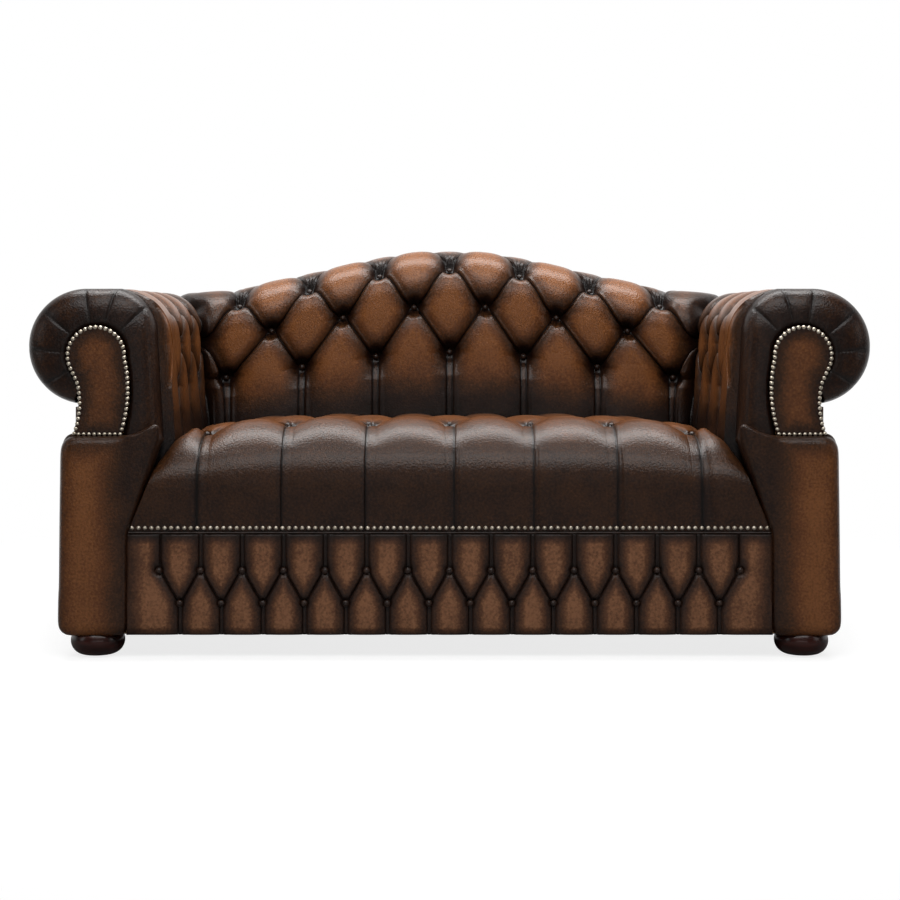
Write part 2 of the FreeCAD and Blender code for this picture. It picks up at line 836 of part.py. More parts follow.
def make_suspension():
    half, level = SEAT_SEAM, num("seat_half * seat_level_share")
    slope = [level + (half - level) * share for share in (0, 0.5, 1)]
    cuts = [-across for across in slope[::-1]] + slope
    feature("seat_foam_core", Part.makeLoft([core_section(across) for across in cuts], True, True))

    keep(plank("seat_hessian", ("-frame_in + soft_gap", "frame_in - soft_gap"),
               ("post_front", "back_out - rail_thickness - soft_gap"), ("hessian_level", "core_level")))
    springs, clips = [], []
    count = int(num("2 * (seat_half) / spring_spacing"))
    for i in range(count):
        x = (i - (count - 1) / 2) * num("spring_spacing")
        springs.append(spring(x))
        clips += [clip(x, num("post_front + rail_thickness / 2"), 1), clip(x, num("back_out - rail_thickness / 2"), -1)]
    feature("seat_springs", Part.makeCompound(springs))
    feature("spring_clips", Part.makeCompound(clips))


def spring(x):
    """A sinuous spring: straight runs across, joined by half turns, from rail to rail."""
    start, end = num("post_front + rail_thickness / 2"), num("back_out - rail_thickness / 2")
    half, level = num("spring_width / 2"), num("wire_level")
    runs = int((end - start) / num("spring_loop"))
    pitch = (end - start) / runs
    edges = []
    for i in range(runs + 1):
        side = 1 if i % 2 else -1
        y = start + i * pitch
        a, b = Vector(x - side * half, y, level), Vector(x + side * half, y, level)
        edges.append(Part.makeLine(a, b))
        if i < runs:
            bend = Vector(x + side * (half + pitch / 2), y + pitch / 2, level)
            edges.append(Part.Arc(b, bend, b + Vector(0, pitch, 0)).toShape())
    wire = Part.Circle(edges[0].Vertexes[0].Point, Vector(1, 0, 0), num("spring_wire")).toShape()
    return Part.Wire(edges).makePipeShell([Part.Wire([wire])], True, False)


def clip(x, y, side):
    """A bent strip on the rail that holds a spring's end run."""
    plate, level = num("clip_plate"), num("rail_top")
    room = num("2 * (spring_wire + soft_gap)")
    reach = num("spring_wire + soft_gap")
    tail = reach * 4
    outline = [(-reach - plate, 0), (tail, 0), (tail, plate), (-reach, plate), (-reach, plate + room),
               (reach, plate + room), (reach, 2 * plate + room), (-reach - plate, 2 * plate + room)]
    points = [Vector(x - num("clip_width / 2"), y + side * a, level + b) for a, b in outline]
    face = Part.Face(Part.makePolygon(points + points[:1]))
    return face.extrude(Vector(num("clip_width"), 0, 0))


def make_webbing():
    straps = []
    count = int(num("2 * (frame_in) / strap_spacing - 1"))
    for i in range(count):
        middle = f"({i - (count - 1) / 2}) * strap_spacing"
        low_edge = max(abs(num(middle + " - strap_width / 2")), abs(num(middle + " + strap_width / 2")))
        top = lifted(low_edge, num("top_rail_level")) + num("top_rail_height / 2")
        strap = plank(f"back_strap_{i}", (middle + " - strap_width / 2", middle + " + strap_width / 2"),
                      ("back_in - strap_thickness", "back_in"), ("tack_level", "tack_level + tack_rail_height"))
        strap.Height = top - num("tack_level")
        strap.setExpression("Height", ex(f"{top} - (tack_level)"))
        straps.append(strap)
    group("back_webbing", straps)
    for side, hand in SIDES:
        straps = []
        count = int(num("(back_in - (post_rear)) / strap_spacing"))
        for i in range(count):
            low = f"post_rear + strap_spacing * {i + 0.5} - strap_width / 2"
            straps.append(plank(f"arm_strap_{hand}_{i}", handed(side, "frame_in - strap_thickness", "frame_in"),
                                (low, low + " + strap_width"), ("tack_level", "top_rail_level + top_rail_height")))
        group("arm_webbing_" + hand, straps)


# Timber frame and feet

def make_frame():
    ground = ("foot_height", "rail_top")
    keep(plank("front_seat_rail", ("-post_inside", "post_inside"),
               ("post_front", "post_front + rail_thickness"), ground))
    keep(plank("back_seat_rail", ("-frame_in", "frame_in"), ("back_out - rail_thickness", "back_out"), ground))
    keep(plank("centre_seat_rail", ("-rail_thickness / 2", "rail_thickness / 2"),
               ("post_front + rail_thickness", "back_out - rail_thickness"),
               ("foot_height", "foot_height + centre_rail_height")))
    keep(plank("back_tack_rail", ("-frame_in", "frame_in"), ("back_in", "back_in + rail_thickness"),
               ("tack_level", "tack_level + tack_rail_height")))
    blocks = []
    for side, hand in SIDES:
        run = ("post_rear", "back_in")
        keep(plank("side_seat_rail_" + hand, handed(side, "post_inside", "post_inside + rail_thickness"), run, ground))
        keep(plank("arm_tack_rail_" + hand, handed(side, "frame_in", "frame_in + rail_thickness"), run,
                   ("tack_level", "tack_level + tack_rail_height")))
        keep(plank("arm_top_rail_" + hand, handed(side, "frame_in", "frame_out"), run,
                   ("top_rail_level", "top_rail_level + top_rail_height")))
        post = plank("back_post_board_" + hand, handed(side, "frame_in", "frame_out"), ("back_in", "back_out"),
                     ("foot_height", "top_rail_level + top_rail_height"))
        sign = "-" if side < 0 else ""
        cut("back_post_" + hand, post, bolt_hole(hand + "_back", f"{sign}(back_foot_side)", "back_foot_rear"))
        blocks += [block("front_block_" + hand, side, "post_inside", "post_front + rail_thickness", 1),
                   block("back_block_" + hand, side, "frame_in", "back_out - rail_thickness", -1)]
        make_front_post(side, hand)
    group("corner_blocks", blocks)
    make_top_rail()


def bolt_hole(name, x, y):
    return rod("bolt_hole_" + name, "bolt_radius + bolt_clearance", x, y, "foot_height",
               "foot_height + bolt_in_post + bolt_clearance")


def block(label, side, corner_x, corner_y, turn):
    """A three-cornered block glued into a corner of the seat frame."""
    body = doc.addObject("PartDesign::Body", label)
    sketch = sketch_on(body, "XY_Plane", label + "_plan")
    leg = num("corner_block_leg")
    draw(sketch, [(0, 0), (-side * leg, 0), (0, turn * leg)])
    pad = body.newObject("PartDesign::Pad", label + "_pad")
    pad.Profile = sketch
    pad.setExpression("Length", ex("corner_block_height"))
    body.Tip = pad
    sign = "-" if side < 0 else ""
    body.setExpression("Placement.Base.x", ex(f"{sign}({corner_x})"))
    body.setExpression("Placement.Base.y", ex(corner_y))
    body.setExpression("Placement.Base.z", ex("foot_height"))
    return body


def serpentine_edge(level, forth):
    """A serpentine edge, arcs at the crown and the arms, from one end of the top rail to the other."""
    hand = 1 if forth else -1

    def at(share):
        return hand * ARM_FACE * share, lifted(ARM_FACE * share, level)
    bend, end, hollow = CROWN_BEND, 1 - CROWN_END, 1 - CROWN_END / 2
    reach = SERPENT / ARM_FACE
    return [at(-reach), at(-1), (at(-hollow), at(-end)), at(-bend), (at(0), at(bend)), at(end),
            (at(hollow), at(1)), at(reach)]


def make_top_rail():
    low = num("top_rail_level")
    path = serpentine_edge(low, True) + serpentine_edge(low + num("top_rail_height"), False)
    keep(front_board("back_top_rail", path, 1, "back_in", "post_size"))
    uprights = []
    for side, hand in SIDES:
        reach = num("upright_offset + upright_width / 2")
        top = lifted(reach, low)
        board = plank("upright_" + hand, handed(side, "upright_offset - upright_width / 2",
                                                "upright_offset + upright_width / 2"),
                      ("back_out - rail_thickness", "back_out"), ("rail_top", "top_rail_level"))
        board.setExpression("Height", ex(f"{top} - (rail_top)"))
        uprights.append(board)
    group("back_uprights", uprights)


def facing_path(shrink):
    """Outline of the keyhole facing, inset from the arm face and height, drawn in by a margin."""
    radius = num("facing_head_radius") - shrink
    head = (num("arm_face + facing_head_inset"), num("facing_head_height"))

    def on_head(angle):
        turn = math.radians(angle)
        return head[0] + radius * math.cos(turn), head[1] + radius * math.sin(turn)
    foot = num("facing_foot")
    low, neck = foot + shrink, num("facing_head_height") - radius
    waist = (foot + head[1]) / 2
    inner_foot = (num("arm_face + facing_foot_inner") + shrink, low)
    outer_foot = (num("arm_face + facing_foot_outer") - shrink, low)
    inner_waist = (num("arm_face + facing_waist_inset") + shrink, waist + radius / 4)
    outer_neck = (num("arm_face + facing_neck_inset") - shrink, (low + neck) / 2 + radius / 4)
    return [inner_foot, (inner_waist, on_head(185)), (on_head(75), on_head(-33)),
            (on_head(-33)[0] - radius / 5, neck), (outer_neck, outer_foot)]


def waist_inset(height):
    """Where the facing's inner edge lies at a height below its head."""
    start, (middle, end) = facing_path(0)[0], facing_path(0)[1]
    edge = Part.Arc(Vector(*start), Vector(*middle), Vector(*end))
    line = Part.LineSegment(Vector(0, height), Vector(middle[0] + num("facing_head_radius"), height))
    return edge.intersect(line)[0].X - num("arm_face")


def make_front_post(side, hand):
    """The scroll board of an arm front: a broad foot, a narrow neck and a round head."""
    scroll = facing_path(num("collar_pleat"))
    base, shoulder = num("foot_height"), num("pillar_top - pillar_edge")
    inside, outside = num("post_inside"), num("post_outside")
    neck = num("panel_in - soft_gap")
    throat = (scroll[3][0] - num("collar_wall"), scroll[3][1])
    knee = (neck, (shoulder + throat[1]) / 2)
    path = [(inside, base), (inside, shoulder), scroll[0]] + scroll[1:3]
    path += [throat, knee, (neck, shoulder), (outside, shoulder), (outside, base)]
    board = front_board("arm_front_board_" + hand, path, side, "post_front", "front_post_thickness")
    sign = "-" if side < 0 else ""
    cut("arm_front_post_" + hand, board, bolt_hole(hand + "_front", f"{sign}(foot_side)", "foot_front"))


def make_feet():
    bolts, glides = [], []
    places = [("front", "foot_side", "foot_front"), ("back", "back_foot_side", "back_foot_rear")]
    sole, top = num("glide_height"), num("foot_height")
    bore, depth = num("bolt_radius + bolt_clearance"), num("foot_height - bolt_in_foot - bolt_clearance")
    belly = (num("foot_radius"), (sole + top) / 2)
    path = [(0, sole), (num("foot_sole_radius"), sole), (belly, (num("foot_top_radius"), top)),
            (bore, top), (bore, depth), (0, depth)]
    for end, x, y in places:
        for side, hand in SIDES:
            sign = "-" if side < 0 else ""
            foot = turned(f"foot_{end}_{hand}", path)
            foot.setExpression("Placement.Base.x", ex(f"{sign}({x})"))
            foot.setExpression("Placement.Base.y", ex(y))
            keep(foot)
            bolts.append(rod(f"foot_bolt_{end}_{hand}", "bolt_radius", f"{sign}({x})", y,
                             "foot_height - bolt_in_foot", "foot_height + bolt_in_post"))
            glides.append(rod(f"glide_{end}_{hand}", "glide_radius", f"{sign}({x})", y, "0 * glide_height",
                              "glide_height"))
    group("foot_bolts", bolts)
    group("foot_glides", glides)
    sheet_cover = plank("dust_sheet", ("-panel_in", "panel_in"), ("post_front", "panel_rear_in"),
                        ("foot_height - dust_thickness", "foot_height"))
    holes = []
    for end, x, y in places:
        for side, hand in SIDES:
            sign = "-" if side < 0 else ""
            holes.append(rod(f"foot_gap_{end}_{hand}", "foot_radius + pleat_height", f"{sign}({x})", y,
                             "foot_height - 2 * dust_thickness", "foot_height + dust_thickness"))
    ring = doc.addObject("Part::Compound", "foot_gaps")
    ring.Links = holes
    cut("dust_cover", sheet_cover, ring)


# Arm fronts: pillar, facing and collar

def make_arm_fronts():
    for side, hand in SIDES:
        make_pillar(side, hand)
        face = front_board("scroll_facing_" + hand, facing_path(num("soft_gap") * 3), side,
                           "post_front - facing_thickness", "facing_thickness")
        keep(face)
        feature("facing_nails_" + hand, facing_nails(side))
        feature("scroll_collar_" + hand, collar(side))


def make_pillar(side, hand):
    """A padded pillar: its front, a wing beside the seat and a return round the outer side."""
    outside, inside = num("pillar_outside"), num("pillar_inside")
    base, top, corner = num("foot_height"), num("pillar_top"), num("pillar_corner")
    seat, wing_top = num("seat_start"), num("wing_top")
    wing_in = num("arm_face - face_lean + button_seat + front_draw")
    slant = corner * (1 - math.sqrt(0.5))
    low = corner / 2
    low_slant = low * (1 - math.sqrt(0.5))
    gap = num("soft_gap")
    knee = facing_path(-gap)[0][0]
    lobe = [(ARM_FACE + waist_inset(wing_top) - gap, wing_top), (wing_in, wing_top), (wing_in, top), (inside, seat)]
    upper = outside - num("pillar_taper")
    path = [(inside, base), (outside - low, base), ((outside - low_slant, base + low_slant), (outside, base + low)),
            (upper, top - corner), ((upper - slant, top - slant), (upper - corner, top)), (knee, top)]
    body = front_board("arm_pillar_" + hand, path + lobe, side, "front", "pillar_padding - soft_gap")

    wing = sketch_on(body, "XZ_Plane", f"arm_pillar_{hand}_wing")
    wing_out = num("frame_in - soft_gap")
    wing_low = top + (seat - top) * (wing_out - wing_in) / (inside - wing_in)
    draw(wing, [(wing_out, wing_low), (wing_out, wing_top)] + lobe[1:3], side)
    sides = body.newObject("PartDesign::Pad", f"arm_pillar_{hand}_wing_pad")
    sides.Profile = wing
    sides.setExpression("Length", ex("collar_start - pillar_padding"))
    sides.Reversed = True
    outer = sketch_on(body, "XZ_Plane", f"arm_pillar_{hand}_return")
    edge = num("pillar_edge")
    neck, ledge = num("panel_in"), top - edge + gap
    draw(outer, [(upper - edge, base + low), (outside, base + low), (upper, top - corner),
                 ((upper - slant, top - slant), (upper - corner, top)), (neck, top), (neck, ledge),
                 (upper - edge, ledge)], side)
    returns = body.newObject("PartDesign::Pad", f"arm_pillar_{hand}_return_pad")
    returns.Profile = outer
    returns.setExpression("Length", ex("front_post_thickness"))
    returns.Reversed = True
    body.Tip = returns
    doc.recompute()
    face = num("front")
    rounded = []
    for i, line in enumerate(body.Shape.Edges, 1):
        box = line.BoundBox
        if box.YMax < face + num("soft_gap") and box.ZMax < top + num("soft_gap"):
            if box.ZMin > base + low - num("soft_gap") and box.XLength < box.ZLength / 10:
                rounded.append(f"Edge{i}")
    if rounded:
        bead = body.newObject("PartDesign::Fillet", f"arm_pillar_{hand}_edge")
        bead.Base = (returns, rounded)
        bead.setExpression("Radius", ex("pillar_edge"))
        body.Tip = bead
    keep(body)


COLLAR_LOW = num("wing_top - tuck_height + soft_gap")


def collar_turns():
    """Places of the collar's pleats along the wall section."""
    turns = [COLLAR_LOW, TOP_ROW, (FACE_LENGTH + SHOULDER_LENGTH + TOP_ROW) / 2 + FACE_RADIUS / 2, ROLL_START]
    spare = WALL_LENGTH - ROLL_START
    return turns + [ROLL_START + spare * share for share in (0.29, 0.54, 0.78, 1.0)]


def collar(side):
    """The pleated leather collar between arm and facing: a bullnose lofted through its pleats."""
    outer, inner = [], []
    turns = collar_turns()
    for low, high in zip(turns, turns[1:]):
        fold = num("fold_width") / (high - low) / 3
        crown = (0.3, 0.4, 0.5, 0.6, 0.7) if high - low > SHOULDER_LENGTH else (0.5,)
        sections = [(fold, 1), (3 * fold, 0.3)] + [(share, 0) for share in crown] + [(1 - 3 * fold, 0.3), (1 - fold, 1)]
        for share, sunk in sections:
            a, b = collar_section(side, low + (high - low) * share, sunk * num("collar_pleat"))
            outer.append([a])
            inner.append([b])
    return lofted(outer, inner)


def collar_section(side, up, sunk):
    """Outer and inner arc of the collar across its bullnose."""
    inset, height, across, rise = wall(up)
    lift = front_edge(up)
    edge = (inset + lift * across, height + lift * rise)
    head = (num("facing_head_inset"), num("facing_head_height"))
    if edge[1] < head[1] and edge[0] < head[0]:
        goal = (waist_inset(edge[1]), edge[1])
    else:
        reach = math.hypot(edge[0] - head[0], edge[1] - head[1])
        scale = num("facing_head_radius") / reach
        goal = (head[0] + (edge[0] - head[0]) * scale, head[1] + (edge[1] - head[1]) * scale)
    width = math.hypot(goal[0] - edge[0], goal[1] - edge[1])
    depth, wall_depth = num("collar_depth"), num("collar_wall")

    def point(share, forward):
        x = edge[0] + (goal[0] - edge[0]) * share
        z = edge[1] + (goal[1] - edge[1]) * share
        return Vector(side * (ARM_FACE + x), num("collar_line") - forward, z)
    top = point(0.25 + 0.5 * sunk / width, 0.85 * depth - 0.8 * sunk)
    outer = Part.Arc(point(0, 0), top, point(1, depth)).toShape()
    thin = wall_depth / width
    under = point(0.25 + thin * 0.8, 0.85 * depth - wall_depth)
    inner = Part.Arc(point(thin, 0), under, point(1, depth - wall_depth)).toShape()
    return outer, inner


def nail():
    return spun(dome(num("nail_radius"), num("nail_dome"), 0, [(0, 0)]))


def facing_nails(side):
    """Close nailing all round the facing."""
    path = facing_path(num("nail_margin"))
    edges = []
    start = path[0]
    for step in path[1:] + [path[0]]:
        end = step[1] if isinstance(step[0], tuple) else step
        a, b = Vector(*start), Vector(*end)
        if isinstance(step[0], tuple):
            edges.append(Part.Arc(a, Vector(*step[0]), b).toShape())
        else:
            edges.append(Part.makeLine(a, b))
        start = end
    line = Part.Wire(edges)
    count = int(line.Length / num("facing_nail_pitch"))
    face = num("post_front - facing_thickness")
    pattern = nail()
    spots = line.discretize(Number=count + 1)[:-1]
    return Part.makeCompound([set_down(pattern, Vector(side * spot.x, face, spot.y), Vector(0, -1, 0))
                              for spot in spots])


def make_trim():
    """Close nailing and welt between seat and border, and the plain outside covers."""
    half = num("border_half - nail_radius - pleat_height")
    count = int(2 * half / num("seat_nail_pitch"))
    level = num("seat_start + seat_hem / 2")
    face = num("seat_front - button_seat - 2 * soft_gap")
    spots = [Vector(-half + 2 * half * i / count, face, level) for i in range(count + 1)]
    feature("seat_nails", Part.makeCompound([set_down(nail(), spot, Vector(0, -1, 0)) for spot in spots]))

    welt = doc.addObject("Part::Cylinder", "seat_welt")
    welt.setExpression("Radius", ex("welt_radius"))
    welt.setExpression("Height", ex("2 * (border_half)"))
    welt.Placement.Rotation = FreeCAD.Rotation(Vector(0, 1, 0), 90)
    welt.setExpression("Placement.Base.x", ex("-(border_half)"))
    welt.setExpression("Placement.Base.y", ex("seat_front"))
    welt.setExpression("Placement.Base.z", ex("border_top + welt_radius + soft_gap"))
    keep(welt)
    keep(plank("border_padding", ("-border_half", "border_half"),
               ("post_front - (pillar_padding - front_pad) + quilt_back + soft_gap", "post_front"),
               ("foot_height", "border_top")))

    for side, hand in SIDES:
        make_arm_panel(side, hand)
    base, reach = num("foot_height"), num("panel_out")
    top = serpentine_edge(num("panel_top"), False)
    path = [(-reach, base), (reach, base), (reach, num("panel_top"))] + top + [(-reach, num("panel_top"))]
    keep(front_board("outside_back_panel", path, 1, "panel_rear_in", "panel_thickness"))


def make_arm_panel(side, hand):
    """The outside of an arm, with a tongue over the pillar that reaches the facing."""
    body = doc.addObject("PartDesign::Body", "outside_arm_panel_" + hand)
    sketch = sketch_on(body, "YZ_Plane", f"outside_arm_panel_{hand}_outline")
    gap = num("soft_gap")
    front, rear, end = num("post_front"), num("post_rear") + gap, num("panel_rear_in")
    base, top, neck = num("foot_height"), num("panel_top"), num("neck_top")
    shoulder = num("pillar_top") + gap
    draw(sketch, [(rear, base), (end, base), (end, top), (num("collar_line"), top), (num("collar_line"), neck),
                  (front, neck), (front, shoulder), (rear, shoulder)])
    pad = body.newObject("PartDesign::Pad", f"outside_arm_panel_{hand}_pad")
    pad.Profile = sketch
    pad.setExpression("Length", ex("panel_thickness"))
    body.Tip = pad
    body.setExpression("Placement.Base.x", ex("panel_in" if side > 0 else "-(panel_out)"))
    keep(body)


make_frame()
make_feet()
make_suspension()
make_webbing()
make_upholstery()
make_arm_fronts()
make_trim()
doc.recompute()

os.makedirs("parts", exist_ok=True)
for piece in nodes:
    shape = piece.Shape
    if "Invalid" in piece.State or "Error" in piece.State or shape.isNull() or not shape.isValid():
        raise RuntimeError("bad sub-part: " + piece.Label)
    shape.exportStep(f"parts/{piece.Label}.step")
    print(piece.Label, len(shape.Solids), round(shape.Volume / 1000), "cm3")
print(len(nodes), "sub-parts")
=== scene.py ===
# %% [markdown]
# A chesterfield loveseat: deep-buttoned leather over a hardwood frame.
# The solid model comes in as a fixed frame, in metres, and gives every piece its place.
# This lesson lays the soft leather over it, in millimetres, and turns to metres with each mesh.

# %% Load the frame
import json
import math
import bpy
import numpy as np
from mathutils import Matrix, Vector


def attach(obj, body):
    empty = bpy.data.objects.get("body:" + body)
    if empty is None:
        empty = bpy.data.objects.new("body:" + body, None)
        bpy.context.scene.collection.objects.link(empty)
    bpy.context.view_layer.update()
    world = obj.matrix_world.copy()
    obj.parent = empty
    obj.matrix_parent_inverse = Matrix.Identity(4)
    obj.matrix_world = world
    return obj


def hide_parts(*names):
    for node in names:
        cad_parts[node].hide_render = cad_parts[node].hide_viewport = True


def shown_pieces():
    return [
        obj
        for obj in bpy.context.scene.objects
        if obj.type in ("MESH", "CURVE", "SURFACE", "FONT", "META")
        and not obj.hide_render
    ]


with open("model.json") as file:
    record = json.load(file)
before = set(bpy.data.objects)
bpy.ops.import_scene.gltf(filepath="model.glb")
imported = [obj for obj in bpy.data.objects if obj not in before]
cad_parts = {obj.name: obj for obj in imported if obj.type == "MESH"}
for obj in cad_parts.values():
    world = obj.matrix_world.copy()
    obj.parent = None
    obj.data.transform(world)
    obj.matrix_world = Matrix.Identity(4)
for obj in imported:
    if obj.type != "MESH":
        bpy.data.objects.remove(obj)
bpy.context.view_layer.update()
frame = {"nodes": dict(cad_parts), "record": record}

MM = 0.001
SIDES = ((-1, "left"), (1, "right"))
scene = bpy.context.scene

# %% [markdown]
# The wall of the seat is one section, bent round three sides: up the inside face, over a
# shoulder, along a short flat and round a roll. A point of it has three numbers: how far along
# the wall, how far up the section and how far off the button plane. Upholsterers mark out the
# leather the same way, on the flat, before it is buttoned down.

# %% The wall section
# Sizes of the seat, of the section and of the stuffing, as in the solids
HALF_WIDTH, HALF_DEPTH = 860.0, 450.0
SECTION = 284.0
ARM_HEIGHT, CROWN_RISE = 746.0, 103.0
ROLL_OUTSIDE, SHOULDER_OUTSIDE = 118.0, 95.0
FACE_LEAN, TUCK = 15.0, 380.0
TUFT, BUTTON_SEAT = 35.0, 2.5
ROLL_SWEEP = math.radians(170)
SHOULDER, ROLL = SHOULDER_OUTSIDE - TUFT, ROLL_OUTSIDE - TUFT
ROLL_AXIS = SECTION - ROLL_OUTSIDE
SHOULDER_LEVEL = ARM_HEIGHT - SHOULDER_OUTSIDE
FACE_END = SHOULDER_LEVEL - TUCK
SHOULDER_END = FACE_END + SHOULDER * math.pi / 2
ROLL_START = SHOULDER_END + ROLL_AXIS - SHOULDER_OUTSIDE
WALL_END = ROLL_START + ROLL * ROLL_SWEEP


def wall(up):
    """Inset, height and outward direction of the button plane, up the section."""
    turn = np.clip((up - FACE_END) / SHOULDER, 0, math.pi / 2)
    bend = np.clip((up - ROLL_START) / ROLL, 0, None)
    lean = FACE_LEAN * np.clip(1 - up / FACE_END, 0, 1)
    inset = SHOULDER_OUTSIDE - SHOULDER * np.cos(turn) - lean
    inset = inset + np.clip(up - SHOULDER_END, 0, ROLL_START - SHOULDER_END) + ROLL * np.sin(bend)
    height = TUCK + np.clip(up, None, FACE_END) + SHOULDER * np.sin(turn)
    height = height + ROLL * (np.cos(bend) - 1)
    across = np.sin(bend) - np.cos(turn)
    rise = np.where(bend > 0, np.cos(bend), np.sin(turn))
    return inset, height, across, rise


print("section length", round(WALL_END), "mm")

# %% [markdown]
# The section goes round the seat. The back follows a serpentine crown. At each inner corner back
# and arm meet on a mitre, where the leather fans out over the roll. A formula for each wall keeps
# the two edges exactly together, which bending a mesh by hand would not.

# %% The walls in space
ARM_FACE, BACK_FACE = HALF_WIDTH - SECTION, HALF_DEPTH - SECTION
CROWN_BEND, CROWN_END = 0.35, 0.06
SOFT_GAP = 0.3
MITRE, BLEND = ARM_FACE - SOFT_GAP, 76.0
RAIL_TOP, PAD_DEPTH = 236.0, 31.1
RISE_LENGTH = ARM_HEIGHT - PAD_DEPTH - RAIL_TOP


def ease(share):
    """A soft step from nought to one."""
    share = np.clip(share, 0, 1)
    return share * share * (3 - 2 * share)


def serpentine(across):
    """The crown of the back: a round top, straight slopes and a short hollow at the arms."""
    share = np.clip(np.abs(across) / ARM_FACE, 0, 1)
    slope = 2 / (2 - CROWN_BEND - CROWN_END)
    rise = slope * (1 - CROWN_END / 2 - share)
    rise = np.where(share < CROWN_BEND, 1 - slope * share ** 2 / (2 * CROWN_BEND), rise)
    rise = np.where(share > 1 - CROWN_END, slope * (1 - share) ** 2 / (2 * CROWN_END), rise)
    return CROWN_RISE * rise


def on_back(along, up, puff):
    """Points of the back, from the flat to space."""
    inset, height, across, rise = wall(up)
    inset, height = inset + puff * across, height + puff * rise
    fan = inset * ease(1 - (ARM_FACE - np.abs(along)) / BLEND)
    lift = serpentine(along) * np.clip((height - RAIL_TOP) / RISE_LENGTH, 0, 1)
    return np.stack([along + np.sign(along) * fan, BACK_FACE + inset, height + lift], -1)


def on_arm(side):
    """The same for one arm, from its rear corner to its front."""
    def place(along, up, puff):
        inset, height, across, rise = wall(up)
        inset, height = inset + puff * across, height + puff * rise
        fan = inset * ease(1 - along / BLEND)
        return np.stack([side * (ARM_FACE + inset), BACK_FACE - along + fan, height], -1)
    return place


print("the back rises", CROWN_RISE, "mm over the arms")

# %% [markdown]
# Deep buttoning: the leather is cut too large, pulled down at every button and the spare is
# tucked into pleats that run from button to button. Each half pitch is one strip of leather,
# pinched narrow where it has a button and wide where its neighbours have theirs. Modelling it
# strip by strip keeps a row of vertices on every pleat, so the folds stay crisp.
# A grid of equal squares would need many times the points for the same line.

# %% Quilting: rows and strips
class Row:
    """A row of buttons, or an edge that takes the folds of the row beside it."""

    def __init__(self, up, parity, buttons, crown, plain=(), sewn=True, fold=BUTTON_SEAT, saddle=None,
                 tone=1.0, fan=()):
        self.up, self.parity, self.buttons = up, parity % 2, buttons
        self.crown, self.plain, self.sewn, self.fold = crown, plain, sewn, fold
        self.saddle, self.tone, self.fan = saddle, tone, fan


class Quilt:
    """A buttoned cover, marked out on the flat and laid over its place in space."""

    # Shape: narrowest strip, steepest rise of a pillow, how square its crown is, pit of a button
    least_strip, fullness, pit = 3.0, 3.0, 16.0
    steep, end_steep = 0.5, 0.4
    arch_power, swell_power, saddle_drop = 0.75, 0.65, 2.0
    fan_length, fan_depth, fan_width = 60.0, 2.6, 1.9
    # Finish: width of the dark edge by the folds, its tone, how it fades, and the dark line in a fold.
    # The edge is partly dye left unrubbed and partly painted shade; the line is painted shade in the fold.
    rub, dark, soften, inked = 36.0, 0.5, 0.8, 1.0

    def __init__(self, place, first, last, ends, fold, saddle, edge):
        self.place, self.first, self.last, self.ends = place, first, last, ends
        self.fold, self.saddle, self.edge = fold, saddle, edge
        self.rows = []

    def folds(self, row):
        """Places, heights and strengths of the folds along one row."""
        low, high = self.ends
        places, heights, drawn = [], [], [0.0]
        for k in range(self.first, self.last):
            button = k if k % 2 == row.parity else k + 1
            far = high if button > (self.first + self.last) / 2 else low
            places.append(row.buttons.get(button, far) + (self.fold if button == k else -self.fold) / 2)
            drawn.append(0.0 if button in row.plain else self.strength(k + 1))
            heights.append(row.fold if drawn[-1] else row.crown)
        count = len(places)
        for i in range(count):
            places[i] = max(places[i], (places[i - 1] if i else low) + self.least_strip)
        for i in reversed(range(count)):
            places[i] = min(places[i], (places[i + 1] if i + 1 < count else high) - self.least_strip)
        heights = [heights[0]] + heights + [heights[-1]]
        return np.array([low] + places + [high]), np.array(heights), np.array(drawn + [0.0])

    def line(self, low, high, share):
        """Fold places, heights and strengths, crown and swelling of every strip, between two rows."""
        (a, x, faint), (b, y, strong) = self.folds(low), self.folds(high)
        places = a + (b - a) * share
        crossing = low.parity != high.parity
        arch = (4 * share * (1 - share)) ** self.arch_power if crossing else 0
        crown = low.crown + (high.crown - low.crown) * share
        base = x + (y - x) * share
        arched = base + (low.saddle or self.saddle) * arch
        heights = np.maximum(base, np.minimum(arched, crown - self.saddle_drop))
        swell = []
        for k in range(self.first, self.last + 1):
            opens, shuts = k % 2 != high.parity, k % 2 != low.parity
            turn = share * math.pi / 2
            swell.append(float(opens) if opens == shuts else math.sin(turn) if opens else math.cos(turn))
        up = low.up + (high.up - low.up) * share
        heights[0], heights[-1] = self.edge(up, 0, heights[0]), self.edge(up, 1, heights[-1])
        tone = low.tone + (high.tone - low.tone) * share
        drawn = faint + (strong - faint) * share
        return up, places, heights, drawn, crown, np.array(swell) ** self.swell_power, tone

    def strength(self, strip):
        """How deep the fold before a strip is drawn, from nought to one."""
        return 1.0

    def shade(self, along, up):
        """A factor on the crown mark near the ends of the cover, for painted shade."""
        return 1.0


print("strip by strip quilting ready")

# %% [markdown]
# Across one strip the points lie close together at its two folds and further apart on the
# crown. Beside each fold the leather makes a small rolled lip before it dives into the pleat:
# a groove on the fold itself, a ridge 7 mm along and a shallow hollow behind it.
# Two numbers go with each point for the finish: how high it lies on its pillow (crown) and how
# close it is to a fold (crease). The antique finish is rubbed off where hands and backs touch;
# the crown mark also carries painted shade near folds, buttons and ends, and the crease mark is
# painted shade inside each fold.

# %% Points of a quilt
NEAR_FOLD = np.array([0, 1.0, 2.2, 3.6, 5.4, 7.4, 9.8, 13.0, 18.0])
CROWN_POINTS, FULL_STRIP = 9, 64.0
GROOVE, LINE = 3.0, 1.7
LIP, LIP_PLACE, LIP_WIDTH = 1.3, 7.0, 3.0
HOLLOW, HOLLOW_PLACE, HOLLOW_WIDTH = 0.5, 13.5, 4.0
SHARP_RUN, LEAST_SHARP, RUB_AND_SHADE_OVERLAP = 30.0, 0.15, 10.0


